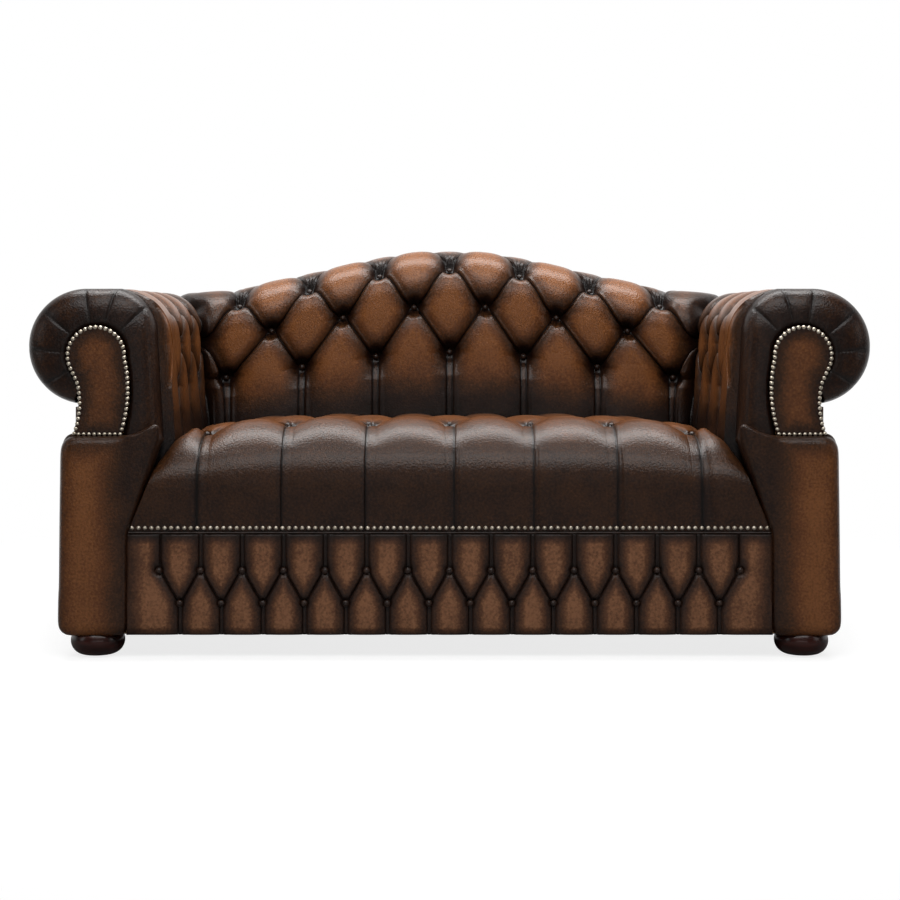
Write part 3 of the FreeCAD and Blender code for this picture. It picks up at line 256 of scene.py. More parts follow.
def bell(away, width):
    """A smooth bump: one in its middle, fading on both sides."""
    return np.exp(-(away / width) ** 2)


def strip_points(width):
    """Points across a strip, close together at both folds."""
    near = NEAR_FOLD * min(1.0, width / FULL_STRIP)
    middle = np.linspace(near[-1], width - near[-1], CROWN_POINTS + 2)[1:-1]
    return np.concatenate([near, middle, (width - near)[::-1]])


def quilt_line(quilt, low, high, share):
    """Along, puff, crown and crease of one line of points across a quilt."""
    up, places, heights, drawn, crown, swell, tone = quilt.line(low, high, share)
    along, puff, crest, crease = [], [], [], []
    for i, swollen in enumerate(swell):
        width = places[i + 1] - places[i]
        x = strip_points(width)
        v = x / width
        full = 1 - np.abs(2 * v - 1) ** quilt.fullness
        base = heights[i] * (1 - v) + heights[i + 1] * v
        steep = quilt.end_steep if i in (0, len(swell) - 1) else quilt.steep
        room = max(heights[i], heights[i + 1]) + steep * width - base
        height = base + np.clip(np.minimum((crown - base) * swollen, room), 0, None) * full
        sharp = min(max((width - quilt.fold) / SHARP_RUN, LEAST_SHARP), 1)
        left, right = drawn[i], drawn[i + 1]
        near = left * bell(x, LINE) + right * bell(width - x, LINE)
        lip = bell(x - LIP_PLACE, LIP_WIDTH) - HOLLOW * bell(x - HOLLOW_PLACE, HOLLOW_WIDTH)
        height = height - GROOVE * sharp * near + LIP * sharp * left * lip
        keep = slice(0 if i == 0 else 1, None)
        along.append((places[i] + x)[keep])
        puff.append(height[keep])
        # Near a fold the crown mark darkens, partly as unrubbed dye and partly as painted shade; the
        # crease mark is painted shade in the fold
        reach = min(quilt.rub, width / 2 + RUB_AND_SHADE_OVERLAP)
        away = np.minimum(x + reach * (1 - left), width - x + reach * (1 - right))
        rubbed = np.clip(away / reach, 0, 1) ** quilt.soften
        crest.append((tone * (quilt.dark + (1 - quilt.dark) * rubbed))[keep])
        crease.append(quilt.inked * np.clip(near, 0, 1)[keep])
    return [up] + [np.concatenate(values) for values in (along, puff, crest, crease)]


def quilt_points(quilt, step):
    """The whole cover on the flat: arrays of along, up, puff, crown and crease."""
    lines = []
    for low, high in zip(quilt.rows, quilt.rows[1:]):
        count = max(2, math.ceil((high.up - low.up) / step))
        lines += [quilt_line(quilt, low, high, i / count) for i in range(count)]
    lines.append(quilt_line(quilt, quilt.rows[-2], quilt.rows[-1], 1.0))
    along = np.array([line[1] for line in lines])
    up = np.array([np.full(along.shape[1], line[0]) for line in lines])
    return [along, up] + [np.array([line[i] for line in lines]) for i in (2, 3, 4)]


UNEVEN, WAVE_BENDS = 0.5, (1.4, 1.1)
SHORT_WAVES, LONG_WAVES = (21.0, 25.0), (33.0, 41.0)


def waver(along, up):
    """The small unevenness of leather drawn over stuffing, within a millimetre."""
    sideways = np.sin(along / SHORT_WAVES[0] + WAVE_BENDS[0] * np.sin(up / LONG_WAVES[0]))
    upwards = np.sin(up / SHORT_WAVES[1] + WAVE_BENDS[1] * np.sin(along / LONG_WAVES[1]))
    return UNEVEN * sideways * upwards


PUCKER_START, PUCKER_RISE, PUCKER_FULL = 3.0, 6.0, 0.35


def pucker(along, up, lean, length, width):
    """A crease that starts at a button and leans away from straight up, from nought to one."""
    out = up * math.cos(lean) + along * math.sin(lean)
    aside = along * math.cos(lean) - up * math.sin(lean)
    start = ease((out - PUCKER_START) / PUCKER_RISE)
    fade = 1 - ease((out - PUCKER_FULL * length) / ((1 - PUCKER_FULL) * length))
    return bell(aside, width) * start * fade


UNDER_BUTTON, FAN_SHADE = 1.0, 0.85
# Painted shade round each button: how far above it the shade is centred and how far it reaches, in pits,
# and how dark it goes
PIT_SHADE_LIFT, PIT_SHADE_REACH, PIT_SHADE_DARK = 0.5, 1.5, 0.92


def dimple(quilt, along, up, puff, crown, crease):
    """Draw the leather down into a pit at every button, with painted shade round and above it, a fan of
    puckers over some, and the cover's painted shade near its ends.
    """
    puff = puff + waver(along, up) * np.clip(puff / TUFT, 0, 1)
    sewn = [(row, place) for row in quilt.rows if row.sewn
            for k, place in row.buttons.items() if k not in row.plain]
    for row, place in sewn:
        beside, above = along - place, up - row.up
        sunk = np.exp(-(np.hypot(beside, above) / quilt.pit) ** 3)
        puff = puff * (1 - sunk) + (row.fold - UNDER_BUTTON) * sunk
        # Painted shade: the crown mark darkens round the button, centred above it, where the pillow above
        # hangs over the pit
        lifted = np.hypot(beside, above - PIT_SHADE_LIFT * quilt.pit)
        crown = crown * (1 - PIT_SHADE_DARK * bell(lifted, PIT_SHADE_REACH * quilt.pit))
        for lean in row.fan:
            mark = pucker(beside, above, math.radians(lean), quilt.fan_length, quilt.fan_width)
            puff = puff - quilt.fan_depth * mark
            # Painted shade in each pucker, laid on the crease mark
            crease = np.maximum(crease, FAN_SHADE * mark)
    return puff, crown * quilt.shade(along, up), crease


print("points per strip", len(strip_points(FULL_STRIP)))

# %% [markdown]
# A padded piece is a closed form: the fine outer skin, a plain coarse inner skin where it lies
# on the frame and a rim that joins the two. The rim stitches many fine points to few coarse
# ones, side by side, so nothing is left open.

# %% Closed padded meshes
def stitch(fine, coarse):
    """Triangles between two runs of points that start and end together."""
    faces, j = [], 0
    for i in range(len(fine) - 1):
        goal = round((i + 1) * (len(coarse) - 1) / (len(fine) - 1))
        faces.append((fine[i], fine[i + 1], coarse[j]))
        while j < goal:
            faces.append((fine[i + 1], coarse[j + 1], coarse[j]))
            j += 1
    return faces


def sheet_faces(index):
    """Four-sided faces over a grid of point numbers."""
    return np.stack([index[:-1, :-1], index[:-1, 1:], index[1:, 1:], index[1:, :-1]], -1).reshape(-1, 4)


def padded_mesh(name, outer, inner, marks):
    """A closed mesh from an outer and an inner grid of points, in millimetres."""
    top = np.arange(outer.shape[0] * outer.shape[1]).reshape(outer.shape[:2])
    under = top.size + np.arange(inner.shape[0] * inner.shape[1]).reshape(inner.shape[:2])
    faces = sheet_faces(top).tolist() + sheet_faces(under)[:, ::-1].tolist()
    rim = (top[0], under[0]), (top[-1], under[-1]), (top[:, 0], under[:, 0]), (top[:, -1], under[:, -1])
    for fine, coarse in rim:
        faces += stitch(fine.tolist(), coarse.tolist())
    mesh = bpy.data.meshes.new(name)
    points = np.concatenate([outer.reshape(-1, 3), inner.reshape(-1, 3)]) * MM
    mesh.from_pydata(points.tolist(), [], faces)
    for mark, values in marks.items():
        spread = np.concatenate([values.reshape(-1), np.zeros(under.size)])
        mesh.attributes.new(mark, "FLOAT", "POINT").data.foreach_set("value", spread.astype(np.float32))
    piece = bpy.data.objects.new(name, mesh)
    scene.collection.objects.link(piece)
    choose(piece)
    bpy.ops.object.mode_set(mode="EDIT")
    bpy.ops.mesh.select_all(action="SELECT")
    bpy.ops.mesh.normals_make_consistent(inside=False)
    bpy.ops.object.mode_set(mode="OBJECT")
    bpy.ops.object.shade_smooth()
    print(name, len(mesh.vertices), "points")
    return piece


def choose(piece):
    """Select one piece alone and make it active."""
    bpy.ops.object.select_all(action="DESELECT")
    piece.select_set(True)
    bpy.context.view_layer.objects.active = piece


def quilted(name, quilt, step, depth, coarse=6):
    """A finished quilted pad, the outer skin fine and the inner one every sixth point."""
    along, up, puff, crown, crease = quilt_points(quilt, step)
    puff, crown, crease = dimple(quilt, along, up, puff, crown, crease)
    outer = quilt.place(along, up, puff)
    rows = np.unique(np.append(np.arange(0, along.shape[0], coarse), along.shape[0] - 1))
    columns = np.unique(np.append(np.arange(0, along.shape[1], coarse), along.shape[1] - 1))
    grid = np.ix_(rows, columns)
    inner = quilt.place(along[grid], up[grid], np.full(along[grid].shape, -depth))
    return padded_mesh(name, outer, inner, {"crown": crown, "crease": crease})


def settle(piece, slot, fill, *nodes):
    """Let a soft piece ride with the seat and stand for its plain solids."""
    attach(piece, "root")
    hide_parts(*nodes)


print("padded meshes ready")

# %% [markdown]
# The inside back has three rows of buttons on its face and a fourth over the roll, staggered,
# so that the pleats make diamonds. Below the lowest row straight pleats run down behind the seat.

# %% Inside back
LOW_ROW, MID_ROW = 0.594 * FACE_END, 0.9225 * FACE_END
TOP_ROW = FACE_END + SHOULDER * math.radians(47)
ROLL_ROW = ROLL_START + ROLL * math.radians(35)
CORNER_FAN, WALL_FOLD, WALL_SADDLE, TOP_SADDLE = 48.0, 12.0, 22.0, 25.0
QUILT_STEP, TAIL_FOLD, END_FOLD = 3.2, 31.0, 18.0
LOW_PITCH, MID_PITCH, TOP_PITCH = 174.0, 168.0, 166.0
# The straight pleats under the lowest buttons: distance below them, height of the fold, tone.
# The tone falls towards the seat as painted shade.
PLEAT_TAILS = ((84.0, TAIL_FOLD, 0.28), (44.0, 26.0, 0.72), (18.0, 13.0, 0.85))
TOP_FAN = (-30, -11, 9, 28)


class WallQuilt(Quilt):
    """Back or arm: darker towards both ends, as painted shade in the corners and by the collar."""

    end_steep = 0.18
    # Painted shade: its run at each end, a scale on the whole tone, how dark the ends go, and how it is
    # lifted over the roll
    fade, worn = (70.0, 70.0), 1.0
    rub, dark = 44.0, 0.36
    end_tone, roll_tone, roll_run = 0.45, 0.8, 60.0

    def shade(self, along, up):
        # Painted shade: the crown mark darkens towards both ends, but not over the roll
        first, last = (along - self.ends[0]) / self.fade[0], (self.ends[1] - along) / self.fade[1]
        over = self.roll_tone * ease((up - SHOULDER_END) / self.roll_run)
        left = np.maximum(ease(np.minimum(first, last)), over)
        return self.worn * (self.end_tone + (1 - self.end_tone) * left)


def wall_quilt(place, first, last, ends, edge):
    """A quilt with the folds of back and arms."""
    return WallQuilt(place, first, last, ends, WALL_FOLD, WALL_SADDLE, edge)


def wall_rows(low, mid, top, roll, parity, plain_mid=()):
    """All rows of a wall, from its foot behind the seat to the end of the roll."""
    tails = [Row(LOW_ROW - below, parity, low, TUFT, sewn=False, fold=fold, tone=tone)
             for below, fold, tone in PLEAT_TAILS]
    # Tone nought at the foot, rising to the lowest buttons: painted shade behind the seat
    return [Row(0, parity, low, TUFT, sewn=False, fold=TAIL_FOLD, tone=0.0), *tails,
            Row(LOW_ROW, parity, low, TUFT, tone=0.92),
            Row(MID_ROW, parity + 1, mid, TUFT, plain_mid),
            Row(TOP_ROW, parity, top, TUFT, saddle=TOP_SADDLE, fan=TOP_FAN),
            Row(ROLL_ROW, parity + 1, roll, TUFT),
            Row(WALL_END, parity + 1, roll, TUFT, sewn=False, fold=END_FOLD, tone=0.6)]


def columns(indices, pitch):
    """Places of buttons, numbered by half pitches from the middle."""
    return {k: k * pitch / 2 for k in indices}


back = wall_quilt(on_back, -8, 8, (-MITRE, MITRE), lambda up, end, fold: fold)
low, mid = columns(range(-6, 7, 2), LOW_PITCH), columns(range(-5, 6, 2), MID_PITCH)
top, roll = columns(range(-6, 7, 2), TOP_PITCH), columns(range(-5, 6, 2), TOP_PITCH)
for sign in (-1, 1):
    mid[sign * 7], top[sign * 8] = sign * MITRE, sign * MITRE
    roll[sign * 7] = sign * (MITRE - CORNER_FAN)
back.rows = wall_rows(low, mid, top, roll, 0)
inside_back = quilted("inside_back", back, QUILT_STEP, PAD_DEPTH)
settle(inside_back, "leather", 0.8, "inside_back_cover", "back_padding")

# %% [markdown]
# The inside arms carry the same quilting on, three columns deep. Their front edge is drawn in to
# the collar, and the painted shade by the collar is only a narrow band. Both arms come from one
# loop, because a mirrored copy would turn its faces inside out.

# %% Inside arms
COLLAR_INSET = 78.0
COLLAR_LINE = -HALF_DEPTH + COLLAR_INSET
ARM_LENGTH = BACK_FACE - COLLAR_LINE
ARM_PITCH, ARM_FIRST = 0.292 * ARM_LENGTH, 0.157 * ARM_LENGTH
FRONT_DRAW, FRONT_RUN = 22.0, 45.0
# The arms' painted shade is only a narrow band by the collar, and their whole tone is darker than the
# back's, as painted shade
ARM_FADE, ARM_SHADE = (70.0, 22.0), 0.88


def front_edge(up):
    """Height of the cover at the arm's front edge, drawn in on its inside face."""
    return TUFT - FRONT_DRAW * np.clip(-wall(up)[2], 0, None)


for side, hand in SIDES:
    arm = wall_quilt(on_arm(side), -1, 7, (SOFT_GAP, ARM_LENGTH),
                     lambda up, end, fold: front_edge(up) if end else fold)
    arm.fade, arm.worn = ARM_FADE, ARM_SHADE
    odd = {k: ARM_FIRST + (k - 1) * ARM_PITCH / 2 for k in (1, 3, 5)}
    even = {k: ARM_FIRST + (k - 1) * ARM_PITCH / 2 for k in (2, 4, 6)}
    roll = dict(even)
    roll[0], even[0] = CORNER_FAN, WALL_FOLD
    arm.rows = wall_rows(odd, even, dict(odd), roll, 1, plain_mid=(6,))
    for row in arm.rows[:5] + arm.rows[6:7]:
        row.plain = (7,)
    cover = quilted("inside_arm_" + hand, arm, QUILT_STEP, PAD_DEPTH)
    settle(cover, "leather", 0.8, "inside_arm_cover_" + hand, "arm_padding_" + hand)

# %% [markdown]
# The seat is one tight pad. Seven tucks run up its front and over the edge; on the top they
# open into diamonds again. Its sides drop away towards the arms.

# %% Seat
FRONT_INSET = 14.0
SEAT_FRONT = -HALF_DEPTH + FRONT_INSET
BORDER_TOP, WELT = 250.0, 2.6
SEAT_START = BORDER_TOP + 2 * WELT + 2 * SOFT_GAP
SEAT_TUFT, SEAT_RADIUS, SEAT_PITCH = 24.0, 110.0, 169.0
SEAT_HEIGHT, SEAT_STEP, SEAT_WALL = 482.0, 3.4, 6.0
SEAT_BASE = SEAT_HEIGHT - SEAT_TUFT
SEAT_HALF = ARM_FACE - FACE_LEAN - BUTTON_SEAT
SEAT_REAR = BACK_FACE - FACE_LEAN - BUTTON_SEAT
PILLAR_INSET, PILLAR_WIDTH, PILLAR_TOP = 73.0, 136.0, 446.0
PILLAR_OUT = HALF_WIDTH - PILLAR_INSET
PILLAR_IN = PILLAR_OUT - PILLAR_WIDTH
SEAT_FACE = SEAT_BASE - SEAT_RADIUS - SEAT_START
SEAT_EDGE = SEAT_RADIUS * math.pi / 2
SEAT_END = SEAT_FACE + SEAT_EDGE + SEAT_REAR - SEAT_FRONT - SEAT_RADIUS
SEAT_SEAM = 3 * SEAT_PITCH
SEAT_RAKE, SEAT_FALL, SEAT_SIDE_SINK = 18.0, 30.0, 20.0


def on_seat(along, up, puff):
    """Up the front, over a round edge and back along the top, spread between the arms."""
    turn = np.clip((up - SEAT_FACE) / SEAT_RADIUS, 0, math.pi / 2)
    run = np.clip(up - SEAT_FACE - SEAT_EDGE, 0, None)
    depth = SEAT_FRONT + SEAT_RADIUS * (1 - np.cos(turn)) + run
    height = SEAT_START + np.clip(up, None, SEAT_FACE) + SEAT_RADIUS * np.sin(turn)
    height = height - SEAT_RAKE * run / (SEAT_END - SEAT_FACE - SEAT_EDGE)
    wide = PILLAR_IN - BUTTON_SEAT
    between = SEAT_HALF + FRONT_DRAW * ease((COLLAR_LINE + FRONT_RUN - depth) / FRONT_RUN)
    side = wide + (between - wide) * np.clip((height - SEAT_START) / (PILLAR_TOP - SEAT_START), 0, 1)
    reach = np.abs(along)
    spread = (side - SEAT_SEAM) / (SEAT_HALF - SEAT_SEAM)
    reach = np.where(reach > SEAT_SEAM, SEAT_SEAM + (reach - SEAT_SEAM) * spread, reach)
    fall = SEAT_FALL * np.clip(2 * np.abs(along) / SEAT_HALF - 1, 0, 1) ** 2
    fall = fall * (height - SEAT_START) / (SEAT_BASE - SEAT_START)
    depth, height = depth - puff * np.cos(turn), height - fall + puff * np.sin(turn)
    return np.stack([np.sign(along) * reach, depth, height], -1)


def seat_side(up, end, fold):
    """The pad sinks beside the arms."""
    return fold - SEAT_SIDE_SINK * ease((up - SEAT_FACE) / SEAT_EDGE)


class SeatQuilt(Quilt):
    """Each tuck shows one dark line, on the side away from the middle."""

    rub, dark, fullness, pit = 12.0, 0.6, 2.4, 9.0
    fan_length, fan_depth, fan_width = 80.0, 4.5, 3.6
    faint = 0.1

    def strength(self, strip):
        outer = strip % 2 == 0 if strip < 0 else strip % 2 == 1
        return 1.0 if outer else self.faint


SEAT_FOLD, SEAT_SADDLE, SEAM_SHIFT, ROW_GAP = 18.0, 5.0, 8.0, 150.0
SEAT_FANS = (-58, -40, -20, 20, 40, 58)
NAIL_BAND, EDGE_SHARE, EDGE_TUFT, EDGE_FOLD = 14.0, 0.45, 8.0, 6.0
seat = SeatQuilt(on_seat, -7, 7, (-SEAT_HALF, SEAT_HALF), SEAT_FOLD, SEAT_SADDLE, seat_side)
even, odd = columns(range(-6, 7, 2), SEAT_PITCH), columns(range(-5, 6, 2), SEAT_PITCH)
for k in even:
    even[k] -= SEAM_SHIFT * np.sign(k)
seat_row = SEAT_FACE + SEAT_EDGE + ROW_GAP - FRONT_INSET - SEAT_RADIUS
# Painted shade: the front face and the back end are given a lower tone than the top rows
seat.rows = [Row(0, 0, even, BUTTON_SEAT, sewn=False, tone=0.28),
             Row(NAIL_BAND, 0, even, BUTTON_SEAT, sewn=False, tone=0.33),
             Row(SEAT_FACE + EDGE_SHARE * SEAT_EDGE, 0, even, EDGE_TUFT, sewn=False, fold=EDGE_FOLD,
                 tone=0.4),
             Row(seat_row, 0, even, SEAT_TUFT, tone=0.8, fan=SEAT_FANS),
             Row(seat_row + ROW_GAP, 1, odd, SEAT_TUFT, tone=0.8),
             Row(seat_row + 2 * ROW_GAP, 0, even, SEAT_TUFT, tone=0.6),
             Row(SEAT_END, 0, even, SEAT_TUFT, sewn=False, tone=0.3)]
seat_pad = quilted("seat_pad", seat, SEAT_STEP, SEAT_WALL)
settle(seat_pad, "leather", 0.9, "seat_cover", "seat_foam_core")

# %% [markdown]
# The front border is buttoned too, in two staggered rows close together, but shallow: the
# leather is only lightly stuffed, so the pleats are short zigzags with straight tails.

# %% Front border
BORDER_LOW, BORDER_PITCH, BORDER_TUFT = 48.0, 83.6, 12.5
BORDER_HALF, HALF_TUFT = PILLAR_IN - 2 * SOFT_GAP, BORDER_TUFT / 2
BORDER_FOLD, BORDER_SADDLE, BORDER_WALL = 4.5, 4.0, 8.0
LOW_BUTTONS, HIGH_BUTTONS, LOW_TURN, TOP_TURN = 111.6, 177.5, 16.0, 20.0


def on_border(along, up, puff):
    """The border stands upright, below the seat's nails."""
    return np.stack([along, SEAT_FRONT - puff, up], -1)


class BorderQuilt(Quilt):
    """The panels at both ends are plain, and swell softly from the first pleat."""

    end_swell = 26.0
    rub, dark, pit, soften, inked = 26.0, 0.2, 9.0, 1.1, 0.55
    # A scale on the whole tone, then painted shade at both ends, by the pillars: how dark they go and over
    # what run
    worn, end_tone, end_run = 0.9, 0.4, 45.0

    def strength(self, strip):
        return 0.0 if strip in (self.first + 1, self.last) else 1.0

    def folds(self, row):
        places, heights, drawn = super().folds(row)
        places[1] = min(places[1], places[2] - self.end_swell)
        places[-2] = max(places[-2], places[-3] + self.end_swell)
        return places, heights, drawn

    def shade(self, along, up):
        left = ease((self.ends[1] - np.abs(along)) / self.end_run)
        return self.worn * (self.end_tone + (1 - self.end_tone) * left)


border = BorderQuilt(on_border, -15, 15, (-BORDER_HALF, BORDER_HALF), BORDER_FOLD, BORDER_SADDLE,
                     lambda up, end, fold: HALF_TUFT)
even, odd = columns(range(-14, 15, 2), BORDER_PITCH), columns(range(-13, 14, 2), BORDER_PITCH)
plain_ends = (-15, 15)
# The tone falls at the bottom and top, where the border turns in under the seat: painted shade
border.rows = [Row(BORDER_LOW, 1, odd, HALF_TUFT, plain_ends, sewn=False, fold=1.5, tone=0.3),
               Row(BORDER_LOW + LOW_TURN, 1, odd, 0.9 * BORDER_TUFT, plain_ends, sewn=False, fold=1.5),
               Row(LOW_BUTTONS, 1, odd, BORDER_TUFT, plain_ends, fold=1.0),
               Row(HIGH_BUTTONS, 0, even, BORDER_TUFT, fold=1.0),
               Row(BORDER_TOP - TOP_TURN, 0, even, 0.95 * BORDER_TUFT, sewn=False, fold=3, tone=0.95),
               Row(BORDER_TOP, 0, even, 0.8 * BORDER_TUFT, sewn=False, fold=3, tone=0.12)]
front_border = quilted("front_border", border, QUILT_STEP, BORDER_WALL)
settle(front_border, "border_leather", 0.7, "front_border_cover", "border_padding")

# %% [markdown]
# A pleated collar turns the arm's front edge over to the facing. It is a bullnose: a quarter of
# a fat oval, swept along the arm's own section and tucked in at six pleats.

# %% Scroll collars
WING_TOP = 487.0
COLLAR_DEPTH, COLLAR_WALL, COLLAR_PLEAT, COLLAR_TAIL = 52.0, 10.0, 3.2, 48.0
COLLAR_STEP, COLLAR_TURNS, INNER_TURNS, INNER_SKIP = 2.5, 26, 6, 6
OVAL, PLEAT_LINE, PLEAT_SHADE_WIDTH, PLEAT_DENT, DENT_SHARE, PLEAT_RISE = 0.72, 2.6, 2.2, 14.0, 0.6, 0.9
# Collar tone: lighter on the bulges between the pleats as rub-off, darker in the pleats and at both edges
# of the bullnose as painted shade; the pleat lines are painted shade
COLLAR_TONE, BULGE_TONE, COLLAR_PLEAT_SHADE = 0.11, 0.22, 0.6
HEAD, HEAD_RADIUS = (138.0, 610.0), 62.0
FACING_FOOT, FACING_WAIST, FACING_NECK = (84.0, 446.3), (69.0, 543.7), (76.2, 604.6)
COLLAR_LOW = WING_TOP - TUCK + SOFT_GAP
collar_turns = [COLLAR_LOW, TOP_ROW, (SHOULDER_END + TOP_ROW) / 2 + SHOULDER / 2, ROLL_START]
collar_turns += [ROLL_START + (WALL_END - ROLL_START) * share for share in (0.29, 0.54, 0.78, 1.0)]


def waist_inset(height):
    """The facing's inner edge below its head: a parabola through foot, waist and neck."""
    (foot, low), (waist, middle), (neck, high) = FACING_FOOT, FACING_WAIST, FACING_NECK
    z = np.clip(height, low, high)
    at_foot = foot * (z - middle) * (z - high) / ((low - middle) * (low - high))
    at_waist = waist * (z - low) * (z - high) / ((middle - low) * (middle - high))
    at_neck = neck * (z - low) * (z - middle) / ((high - low) * (high - middle))
    return at_foot + at_waist + at_neck


def collar_grid(side, turn_count, shrink):
    """Points round the bullnose, at a depth under its skin."""
    ups = np.arange(COLLAR_LOW - COLLAR_TAIL, WALL_END + 1, COLLAR_STEP)
    inset, height, across, rise = wall(ups)
    edge_x, edge_z = inset + front_edge(ups) * across, height + front_edge(ups) * rise
    reach = np.hypot(edge_x - HEAD[0], edge_z - HEAD[1])
    low = (edge_z < HEAD[1]) & (edge_x < HEAD[0])
    goal_x = np.where(low, waist_inset(edge_z), HEAD[0] + (edge_x - HEAD[0]) * HEAD_RADIUS / reach)
    goal_z = np.where(low, edge_z, HEAD[1] + (edge_z - HEAD[1]) * HEAD_RADIUS / reach)
    gap = np.min(np.abs(ups[:, None] - np.array(collar_turns)[None, 1:-1]), axis=1)
    sunk = bell(gap, PLEAT_LINE) + DENT_SHARE * bell(gap, PLEAT_DENT)
    theta = np.linspace(0, math.pi / 2, turn_count)
    taper = np.sin(2 * theta) ** 0.5 * ease(theta / PLEAT_RISE)
    share = 1 - np.cos(theta) ** OVAL
    forward = np.sin(theta) ** OVAL
    width = np.hypot(goal_x - edge_x, goal_z - edge_z)
    drop = shrink + COLLAR_PLEAT * sunk[:, None] * taper[None, :]
    depth = COLLAR_DEPTH * forward[None, :] - drop * np.sin(theta)[None, :]
    part = share[None, :] + (drop / width[:, None]) * np.cos(theta)[None, :]
    x = edge_x[:, None] + (goal_x - edge_x)[:, None] * part
    z = edge_z[:, None] + (goal_z - edge_z)[:, None] * part
    points = np.stack([side * (ARM_FACE + x), COLLAR_LINE - depth, z], -1)
    bulge = np.clip(1 - sunk[:, None], 0, 1) * np.sin(2 * theta)[None, :] ** 0.7
    return points, bulge, bell(gap, PLEAT_SHADE_WIDTH)[:, None] * taper[None, :]


for side, hand in SIDES:
    outer, bulge, crease = collar_grid(side, COLLAR_TURNS, 0.0)
    inner = collar_grid(side, INNER_TURNS, COLLAR_WALL)[0][::INNER_SKIP]
    # Crown: lighter on the bulges; crease: painted shade in the pleats
    marks = {"crown": COLLAR_TONE + BULGE_TONE * bulge, "crease": COLLAR_PLEAT_SHADE * crease}
    collar = padded_mesh("scroll_collar_pad_" + hand, outer, inner, marks)
    settle(collar, "leather", 0.8, "scroll_collar_" + hand)

# %% [markdown]
# Pillars and facings are plain pads with soft edges. A copy of the solid is remeshed in small
# voxels, smoothed and puffed up a little, as foam under stretched leather does. Bevels would
# round the edges too, but they leave the flats flat.

# %% Softened copies
MERGE = 1e-5


def soft_copy(name, node, voxel, rounds, swell, shape=None):
    """A softened copy of a solid: voxels, shaping, smoothing and a little swelling."""
    piece = bpy.data.objects.new(name, frame["nodes"][node].data.copy())
    scene.collection.objects.link(piece)
    piece.data.materials.clear()
    choose(piece)
    bpy.ops.object.mode_set(mode="EDIT")
    bpy.ops.mesh.select_all(action="SELECT")
    bpy.ops.mesh.remove_doubles(threshold=MERGE)
    bpy.ops.object.mode_set(mode="OBJECT")
    remesh = piece.modifiers.new("voxels", "REMESH")
    remesh.mode = "VOXEL"
    remesh.voxel_size = voxel * MM
    bpy.ops.object.modifier_apply(modifier="voxels")
    if shape:
        shape(piece)
    smooth = piece.modifiers.new("smooth", "SMOOTH")
    smooth.factor, smooth.iterations = 0.5, rounds
    bpy.ops.object.modifier_apply(modifier="smooth")
    puff = piece.modifiers.new("swell", "DISPLACE")
    puff.strength, puff.mid_level = swell * MM, 0.0
    bpy.ops.object.modifier_apply(modifier="swell")
    finer = piece.modifiers.new("finer", "SUBSURF")
    finer.levels = finer.render_levels = 1
    bpy.ops.object.modifier_apply(modifier="finer")
    bpy.ops.object.shade_smooth()
    return piece


def mark_crown(piece, near, reach, low, high):
    """Lighter where a plain pad lies far from its edges, seen from the front: rub-off, with painted shade
    towards the edges.
    """
    points = np.array([v.co for v in piece.data.vertices]) / MM
    crown = low + (high - low) * ease(near(np.abs(points[:, 0]), points[:, 2]) / reach)
    for mark, values in (("crown", crown), ("crease", np.zeros(len(points)))):
        layer = piece.data.attributes.new(mark, "FLOAT", "POINT")
        layer.data.foreach_set("value", values.astype(np.float32))
    print(piece.name, len(points), "points")


# %% [markdown]
# Each pillar's ledge runs under the facing and sweeps up to the collar in a wing. The wing is
# shaped before the smoothing, so its edge comes out soft. On the outer side the leather is drawn
# back over the edge of the post, after the smoothing, by a move that eases in by itself. A sculpting
# brush could do both by hand, but a formula does them alike on both sides.

# %% Pillars and facings
NECK_WIDTH, FACING_BACK = 106.0, -424.0
# The pillar's light centre reaches past its outer edge but stops short of its inner side, top and wing:
# painted shade by the seat and under the collar
WARM_OUT, WARM_IN, WARM_TOP = 40.0, 10.0, 20.0
RETURN_WIDTH, RETURN_BACK, RETURN_RUN, RETURN_LIFT, LIFT_RUN = 60.0, 16.0, 35.0, 5.0, 25.0
ARC_INSET, ARC, ARC_SHARE, WING_ROOT = 72.0, 64.0, 0.8, 30.0
LEDGE, POST_CLEAR = 10.0, 8.0


def in_pillar(across, height):
    """How far a point lies inside the pillar's front, warmest towards its outer side; its inner side, top
    and wing stay dark, as painted shade.
    """
    sides = np.minimum(PILLAR_OUT + WARM_OUT - across, across - PILLAR_IN + WARM_IN)
    return np.minimum(sides, PILLAR_TOP + WARM_TOP - height)


def in_facing(across, height):
    """How far a point lies inside the keyhole: its round head or the neck below."""
    inside = across - ARM_FACE
    head = HEAD_RADIUS - np.hypot(inside - HEAD[0], height - HEAD[1])
    edge = waist_inset(height)
    neck = np.minimum(np.minimum(inside - edge, edge + NECK_WIDTH - inside), height - PILLAR_TOP)
    return np.maximum(head, np.where(height < HEAD[1], neck, 0))


def carry_back(pillar):
    """Draw the pillar's outer return back and up, over the edge of the post behind it."""
    for vertex in pillar.data.vertices:
        x, y, z = np.array(vertex.co) / MM
        if abs(x) > PILLAR_OUT - RETURN_WIDTH and y > FACING_BACK:
            vertex.co.y += float(RETURN_BACK * ease((y - FACING_BACK) / RETURN_RUN)) * MM
            vertex.co.z += float(RETURN_LIFT * ease((z - PILLAR_TOP + LIFT_RUN) / LIFT_RUN)) * MM


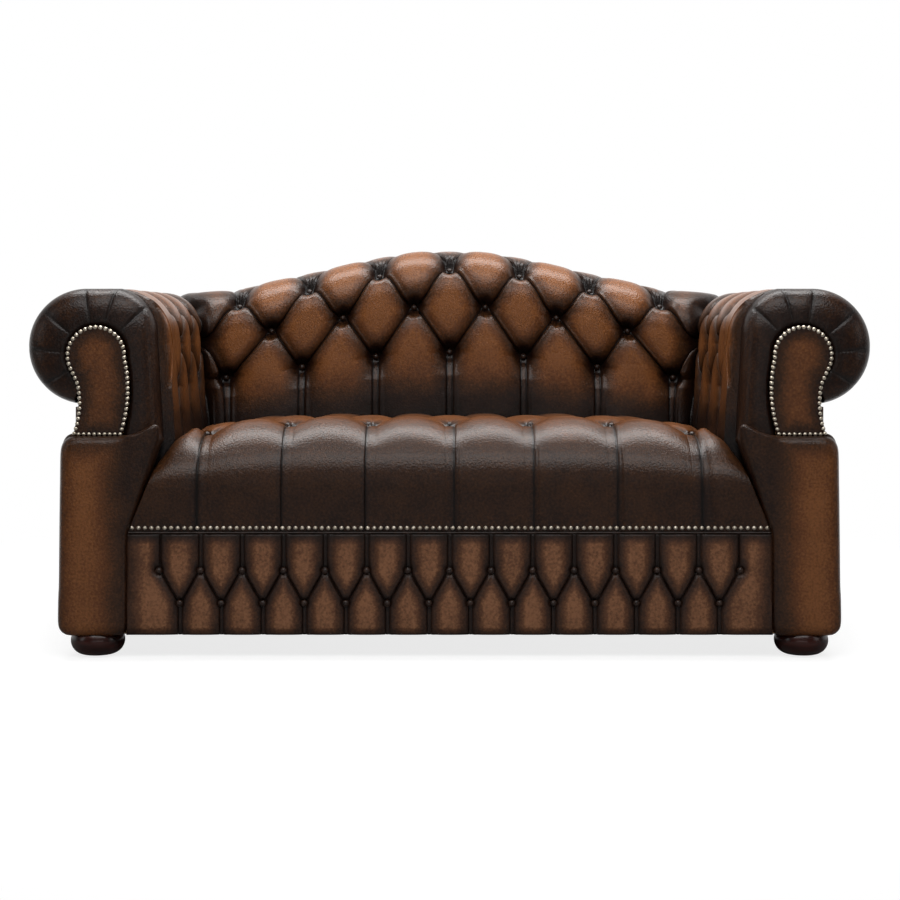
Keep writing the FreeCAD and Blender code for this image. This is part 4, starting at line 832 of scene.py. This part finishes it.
def sweep_wing(pillar):
    """Let the ledge under the facing sweep up to the collar in an arc, as stretched leather does."""
    for vertex in pillar.data.vertices:
        x, y, z = np.array(vertex.co) / MM
        from_head = ARM_FACE + ARC_INSET - abs(x)
        if abs(x) < PILLAR_IN + WING_ROOT and z > PILLAR_TOP - LEDGE:
            run = min(max(from_head, 0), ARC_SHARE * ARC)
            arc = PILLAR_TOP + ARC - math.sqrt(ARC ** 2 - run ** 2)
            vertex.co.z = min(z, arc if y < FACING_BACK else PILLAR_TOP - POST_CLEAR) * MM


for side, hand in SIDES:
    pillar = soft_copy("pillar_pad_" + hand, "arm_pillar_" + hand, voxel=6.0, rounds=40, swell=4.5,
                       shape=sweep_wing)
    carry_back(pillar)
    mark_crown(pillar, in_pillar, reach=90, low=0.3, high=0.92)
    settle(pillar, "leather", 0.7, "arm_pillar_" + hand)
    facing = soft_copy("facing_pad_" + hand, "scroll_facing_" + hand, voxel=4.0, rounds=6, swell=1.0)
    mark_crown(facing, in_facing, reach=46, low=0.25, high=0.75)
    settle(facing, "leather", 0.5, "scroll_facing_" + hand)

# %% [markdown]
# Finishes. Every colour is written as on screen, in hex, and turned to linear light by one
# function. One more small function adds a node with its settings and links.

# %% Colour and node helpers
def linear(code):
    """A colour as on screen, in hex, turned to linear light."""
    values = [int(code[i:i + 2], 16) / 255 for i in (1, 3, 5)]
    return [v / 12.92 if v <= 0.04045 else ((v + 0.055) / 1.055) ** 2.4 for v in values] + [1.0]


def add(tree, kind, links=None, **settings):
    """Add a node: settings are its properties, links its inputs as values or sockets."""
    node = tree.nodes.new(kind)
    for name, value in settings.items():
        setattr(node, name, value)
    for name, value in (links or {}).items():
        if isinstance(value, bpy.types.NodeSocket):
            tree.links.new(value, node.inputs[name])
        else:
            node.inputs[name].default_value = value
    return node


def tint(scale, stops):
    """Give a colour scale its stops, each a place and a colour."""
    while len(scale.elements) < len(stops):
        scale.elements.new(0.5)
    for element, (place, code) in zip(scale.elements, stops):
        element.position, element.color = place, linear(code)


def blank(name):
    """A new material with an empty node tree."""
    material = bpy.data.materials.new(name)
    material.use_nodes = True
    material.node_tree.nodes.clear()
    return material, material.node_tree


print("tan in linear light", [round(v, 3) for v in linear("#724625")])

# %% [markdown]
# Antiqued leather: dyed dark brown, then rubbed back on the crowns so that tan shows through,
# and lacquered to a soft shine. The crown mark drives the rub-off and also carries painted shade;
# the crease mark paints the shade in each fold as a dark line.
# Real grain is about 1 mm; it is drawn at 4 mm, because finer grain would not show. The flecks of
# the rub-off are drawn at 5 mm for the same reason, and the dye is mottled at the width of a palm.

# %% Leather
GRAIN, PORE, SPECK, MOTTLE = 4.0, 2.5, 5.0, 60.0
# Colour of the painted shade in the folds
CREASE_SHADE = "#070302"


def leather(name, stops, shine):
    """Dyed, rubbed and lacquered hide: warm crowns, folds darkened by painted shade, and a soft shine."""
    material, tree = blank(name)
    place = add(tree, "ShaderNodeTexCoord").outputs["Object"]
    crown = add(tree, "ShaderNodeAttribute", attribute_name="crown").outputs["Fac"]
    crease = add(tree, "ShaderNodeAttribute", attribute_name="crease").outputs["Fac"]
    mottle = add(tree, "ShaderNodeTexNoise", {"Vector": place, "Scale": 1000 / MOTTLE, "Detail": 4.0})
    shift = add(tree, "ShaderNodeMapRange",
                {"Value": mottle.outputs["Fac"], "To Min": -0.16, "To Max": 0.16})
    speck = add(tree, "ShaderNodeTexNoise", {"Vector": place, "Scale": 1000 / SPECK, "Detail": 2.0})
    fleck = add(tree, "ShaderNodeMapRange", {"Value": speck.outputs["Fac"], "To Min": -0.3, "To Max": 0.3})
    both = add(tree, "ShaderNodeMath", {0: shift.outputs[0], 1: fleck.outputs[0]}, operation="ADD")
    # The crown mark holds the rub-off and painted shade; the mottle and flecks of the dye are added to it
    worn = add(tree, "ShaderNodeMath", {0: crown, 1: both.outputs[0]}, operation="ADD")
    rubbed = add(tree, "ShaderNodeValToRGB", {"Fac": worn.outputs[0]})
    tint(rubbed.color_ramp, stops)
    # Painted shade: a nearly black line mixed in along the crease mark
    dark = add(tree, "ShaderNodeMix",
               {"Factor": crease, "A": rubbed.outputs["Color"], "B": linear(CREASE_SHADE)}, data_type="RGBA")
    grain = add(tree, "ShaderNodeTexVoronoi", {"Vector": place, "Scale": 1000 / GRAIN}, feature="F1")
    fine = add(tree, "ShaderNodeTexNoise", {"Vector": place, "Scale": 1000 / PORE, "Detail": 3.0})
    height = add(tree, "ShaderNodeMath", {0: grain.outputs["Distance"], 1: fine.outputs["Fac"]},
                 operation="ADD")
    bump = add(tree, "ShaderNodeBump", {"Height": height.outputs[0], "Strength": 0.4, "Distance": 0.001})
    rough = add(tree, "ShaderNodeMapRange", {"Value": crown, "To Min": shine + 0.06, "To Max": shine})
    shader = add(tree, "ShaderNodeBsdfPrincipled",
                 {"Base Color": dark.outputs["Result"], "Roughness": rough.outputs[0],
                  "Normal": bump.outputs[0], "IOR": 1.5, "Specular IOR Level": 0.24})
    add(tree, "ShaderNodeOutputMaterial", {"Surface": shader.outputs[0]})
    return material


ANTIQUE = [(0.0, "#0b0503"), (0.25, "#1d0e07"), (0.5, "#37200f"), (0.75, "#553118"), (1.0, "#724625")]
BORDER = [(0.0, "#120905"), (0.25, "#23130b"), (0.5, "#3a2315"), (0.75, "#563622"), (1.0, "#7c5439")]
antique_leather = leather("antiqued leather", ANTIQUE, 0.27)
border_leather = leather("border leather", BORDER, 0.4)
print(antique_leather.name, "and", border_leather.name)

# %% [markdown]
# The other finishes are one colour each, broken up by a pattern at its real size: wood by its
# figure, brass by its tarnish, jute and foam by their texture. One noise between two tones does
# for all of them, stretched along the grain for wood. Photographs of wood or cloth would look
# closer from a hand's breadth away, but a pattern in code has no seams and no repeat.

# %% Plain leather, wood, brass and the rest
def plain(name, code_dark, code_light, size, roughness, metallic=0.0, bump_height=0.0,
          stretch=(1, 1, 1), coat=0.0):
    """A finish with one patterned colour: noise between two tones at a real size."""
    material, tree = blank(name)
    place = add(tree, "ShaderNodeTexCoord").outputs["Object"]
    turned = add(tree, "ShaderNodeMapping", {"Vector": place, "Scale": stretch})
    noise = add(tree, "ShaderNodeTexNoise",
                {"Vector": turned.outputs[0], "Scale": 1000 / size, "Detail": 5.0})
    tones = add(tree, "ShaderNodeValToRGB", {"Fac": noise.outputs["Fac"]})
    tint(tones.color_ramp, [(0.3, code_dark), (0.7, code_light)])
    bump = add(tree, "ShaderNodeBump",
               {"Height": noise.outputs["Fac"], "Strength": bump_height, "Distance": 0.001})
    shader = add(tree, "ShaderNodeBsdfPrincipled",
                 {"Base Color": tones.outputs["Color"], "Roughness": roughness, "Metallic": metallic,
                  "Normal": bump.outputs[0], "Coat Weight": coat, "Specular IOR Level": 0.3})
    add(tree, "ShaderNodeOutputMaterial", {"Surface": shader.outputs[0]})
    return material


finishes = {
    # Unrubbed hide of the outside panels: one even brown with a fine, dull grain
    "outside": plain("outside leather", "#24130a", "#452817", 12, 0.4, bump_height=0.25),
    # Hide stretched over button moulds: nearly black, with a small glint
    "buttons": plain("button leather", "#150b07", "#2c1a10", 8, 0.36, bump_height=0.1),
    # Plated nails, tarnished pale: bright points with cloudy edges
    "antique_brass": plain("antique brass", "#a59a88", "#d2c9b9", 6, 0.32, metallic=1.0),
    # Stained and polished turnings: a red so dark that only its shine shows
    "dark_wood": plain("mahogany", "#170402", "#330d05", 20, 0.3, stretch=(0.25, 1, 3), coat=0.1),
    # Sawn frame timber: pale, dull, with a long figure
    "frame_wood": plain("beech", "#a07a4e", "#c39b68", 14, 0.6, stretch=(0.08, 1, 1), bump_height=0.2),
    # Drawn wire: grey and bright
    "steel": plain("spring steel", "#5c5c5c", "#8a8a8a", 5, 0.35, metallic=1.0),
    # Moulded glides: black, half matt
    "plastic": plain("glide plastic", "#141414", "#242424", 4, 0.5),
    # Woven hessian and webbing: dry and rough
    "jute": plain("jute", "#7c6440", "#a98a5c", 3, 0.9, bump_height=0.4),
    # Cut foam: cream and open
    "foam": plain("foam", "#c9bd98", "#ddd2ae", 3, 0.9, bump_height=0.4),
    # Felted cloth under the frame: takes all light
    "black_cloth": plain("dust cloth", "#0b0b0b", "#1a1a1a", 2, 0.95, bump_height=0.3),
}


POST_EDGE, POST_FIGURE = 745.0, 30.0


def wrapped_post():
    """Beech, with the outside leather wrapped over its outer edge."""
    material, tree = blank("beech wrapped in leather")
    place = add(tree, "ShaderNodeTexCoord").outputs["Object"]
    figure = add(tree, "ShaderNodeTexNoise", {"Vector": place, "Scale": 1000 / POST_FIGURE, "Detail": 5.0})
    noise = figure.outputs["Fac"]
    wood = add(tree, "ShaderNodeValToRGB", {"Fac": noise})
    tint(wood.color_ramp, [(0.3, "#a07a4e"), (0.7, "#c39b68")])
    hide = add(tree, "ShaderNodeValToRGB", {"Fac": noise})
    tint(hide.color_ramp, [(0.3, "#2a170d"), (0.7, "#4a2c19")])
    across = add(tree, "ShaderNodeSeparateXYZ", {"Vector": place}).outputs["X"]
    reach = add(tree, "ShaderNodeMath", {0: across}, operation="ABSOLUTE")
    outer = add(tree, "ShaderNodeMath", {0: reach.outputs[0], 1: POST_EDGE * MM}, operation="GREATER_THAN")
    colour = add(tree, "ShaderNodeMix",
                 {"Factor": outer.outputs[0], "A": wood.outputs["Color"], "B": hide.outputs["Color"]},
                 data_type="RGBA")
    bump = add(tree, "ShaderNodeBump", {"Height": noise, "Strength": 0.15, "Distance": 0.001})
    shader = add(tree, "ShaderNodeBsdfPrincipled",
                 {"Base Color": colour.outputs["Result"], "Roughness": 0.5,
                  "Normal": bump.outputs[0], "Specular IOR Level": 0.3})
    add(tree, "ShaderNodeOutputMaterial", {"Surface": shader.outputs[0]})
    return material


finishes["wrapped_post"] = wrapped_post()
print(len(finishes), "plain finishes")

# %% [markdown]
# Every solid takes the finish of its slot in the record, with two exceptions. Leather solids are
# plain and dark, because buttons, welt and outside panels were never rubbed, and each arm post has
# leather round its outer edge. The soft pieces take the antiqued leather, and the border its own.
# A loop over the record dresses them all and leaves no piece out, as choosing by hand might.

# %% Dress every piece
slots = {part["node"]: part["material_slot"] for part in frame["record"]["subparts"]}
for name, node in frame["nodes"].items():
    kind = slots[name]
    if kind in ("leather", "border_leather"):
        kind = "buttons" if "buttons" in name or "welt" in name else "outside"
    if name.startswith("arm_front_post"):
        kind = "wrapped_post"
    node.data.materials.clear()
    node.data.materials.append(finishes[kind])
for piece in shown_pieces():
    if piece.name.startswith("front_border"):
        piece.data.materials.append(border_leather)
    elif piece not in frame["nodes"].values():
        piece.data.materials.append(antique_leather)

# %% [markdown]
# The studio is white, as for a catalogue: a pale floor that keeps the shadow, and a background
# that the camera sees as white. Dark leather mirrors whatever is bright, so a white room in front
# of the seat would lay a grey veil over it. Reflections therefore see white only behind the seat.

# %% Floor and background
FLOOR_SIZE, SHADOW_END, WHITE_FROM, WHITE_RUN = 14.0, 1.1, 2.0, 0.3
WHITE = linear("#ffffff")


def show_white(tree, behind):
    """One where the camera sees the surface, or a reflection or glass sees it behind the seat."""
    path = add(tree, "ShaderNodeLightPath")
    glint = add(tree, "ShaderNodeMath",
                {0: path.outputs["Is Glossy Ray"], 1: path.outputs["Is Transmission Ray"]},
                operation="MAXIMUM")
    depth = add(tree, "ShaderNodeSeparateXYZ", {"Vector": behind}).outputs["Y"]
    back = add(tree, "ShaderNodeMapRange", {"Value": depth, "From Min": 0.0, "From Max": WHITE_RUN})
    mirrored = add(tree, "ShaderNodeMath", {0: glint.outputs[0], 1: back.outputs[0]}, operation="MULTIPLY")
    return add(tree, "ShaderNodeMath", {0: path.outputs["Is Camera Ray"], 1: mirrored.outputs[0]},
               operation="MAXIMUM").outputs[0]


bpy.ops.object.select_all(action="DESELECT")
bpy.ops.mesh.primitive_plane_add(size=FLOOR_SIZE)
floor = bpy.context.object
floor.name = "floor"
material, tree = blank("pale floor")
matt = add(tree, "ShaderNodeBsdfDiffuse", {"Color": linear("#8c8c8c")})
glow = add(tree, "ShaderNodeEmission", {"Color": WHITE, "Strength": 0.8})
both = add(tree, "ShaderNodeAddShader", {0: matt.outputs[0], 1: glow.outputs[0]})
plain_white = add(tree, "ShaderNodeEmission", {"Color": WHITE, "Strength": 1.0})
spot = add(tree, "ShaderNodeTexCoord").outputs["Object"]
away = add(tree, "ShaderNodeVectorMath", {0: spot}, operation="LENGTH")
edge = add(tree, "ShaderNodeMapRange",
           {"Value": away.outputs["Value"], "From Min": SHADOW_END, "From Max": WHITE_FROM})
shown = add(tree, "ShaderNodeMixShader",
            {"Fac": edge.outputs[0], 1: both.outputs[0], 2: plain_white.outputs[0]})
pick = add(tree, "ShaderNodeMixShader",
           {"Fac": show_white(tree, spot), 1: matt.outputs[0], 2: shown.outputs[0]})
add(tree, "ShaderNodeOutputMaterial", {"Surface": pick.outputs[0]})
floor.data.materials.append(material)

world = bpy.data.worlds.new("studio")
scene.world = world
world.use_nodes = True
world.node_tree.nodes.clear()
heading = add(world.node_tree, "ShaderNodeTexCoord").outputs["Generated"]
seen = show_white(world.node_tree, heading)
soft = add(world.node_tree, "ShaderNodeBackground", {"Color": WHITE, "Strength": 0.06})
white = add(world.node_tree, "ShaderNodeBackground", {"Color": WHITE, "Strength": 1.0})
mix = add(world.node_tree, "ShaderNodeMixShader", {"Fac": seen, 1: soft.outputs[0], 2: white.outputs[0]})
add(world.node_tree, "ShaderNodeOutputWorld", {"Surface": mix.outputs[0]})
print("floor", FLOOR_SIZE, "m wide")

# %% [markdown]
# Five softboxes light it. The one overhead draws the shine along the top pillows and the edge of
# the seat, the key in front shapes all faces, and three faint ones, low in front and at both
# sides, open the shadows. The camera stands straight in front, just below the top of the arms.

# %% Lights and camera
def softbox(name, place, aim, size, watts):
    """A soft rectangular lamp: where it hangs, what it faces, its size in metres, its power."""
    light = bpy.data.lights.new(name, "AREA")
    light.shape, light.size, light.size_y, light.energy = "RECTANGLE", size[0], size[1], watts
    lamp = bpy.data.objects.new(name, light)
    scene.collection.objects.link(lamp)
    lamp.location = place
    lamp.rotation_euler = (Vector(aim) - Vector(place)).to_track_quat("-Z", "Y").to_euler()


softbox("overhead", (0, 0.2, 3.0), (0, 0.1, 0), (3.4, 1.3), 150)
softbox("front_key", (0, -2.7, 3.2), (0, 0, 0.5), (4.0, 1.6), 100)
softbox("front_low", (0, -4.6, 0.8), (0, 0, 0.4), (4.0, 0.4), 12)
softbox("left_side", (-3.4, -1.8, 1.4), (0, 0, 0.5), (0.9, 1.8), 10)
softbox("right_side", (3.4, -1.8, 1.4), (0, 0, 0.5), (0.9, 1.8), 10)

camera = bpy.data.objects.new("camera", bpy.data.cameras.new("camera"))
scene.collection.objects.link(camera)
camera.location = (0, -4.110, 0.681)
camera.rotation_euler = (math.pi / 2, 0, 0)
camera.data.sensor_width = 36
camera.data.lens = 72.9
camera.data.shift_x = 0.0005
camera.data.shift_y = -0.144
scene.camera = camera
scene.view_settings.view_transform = "Standard"
print("camera lens", camera.data.lens, "mm")
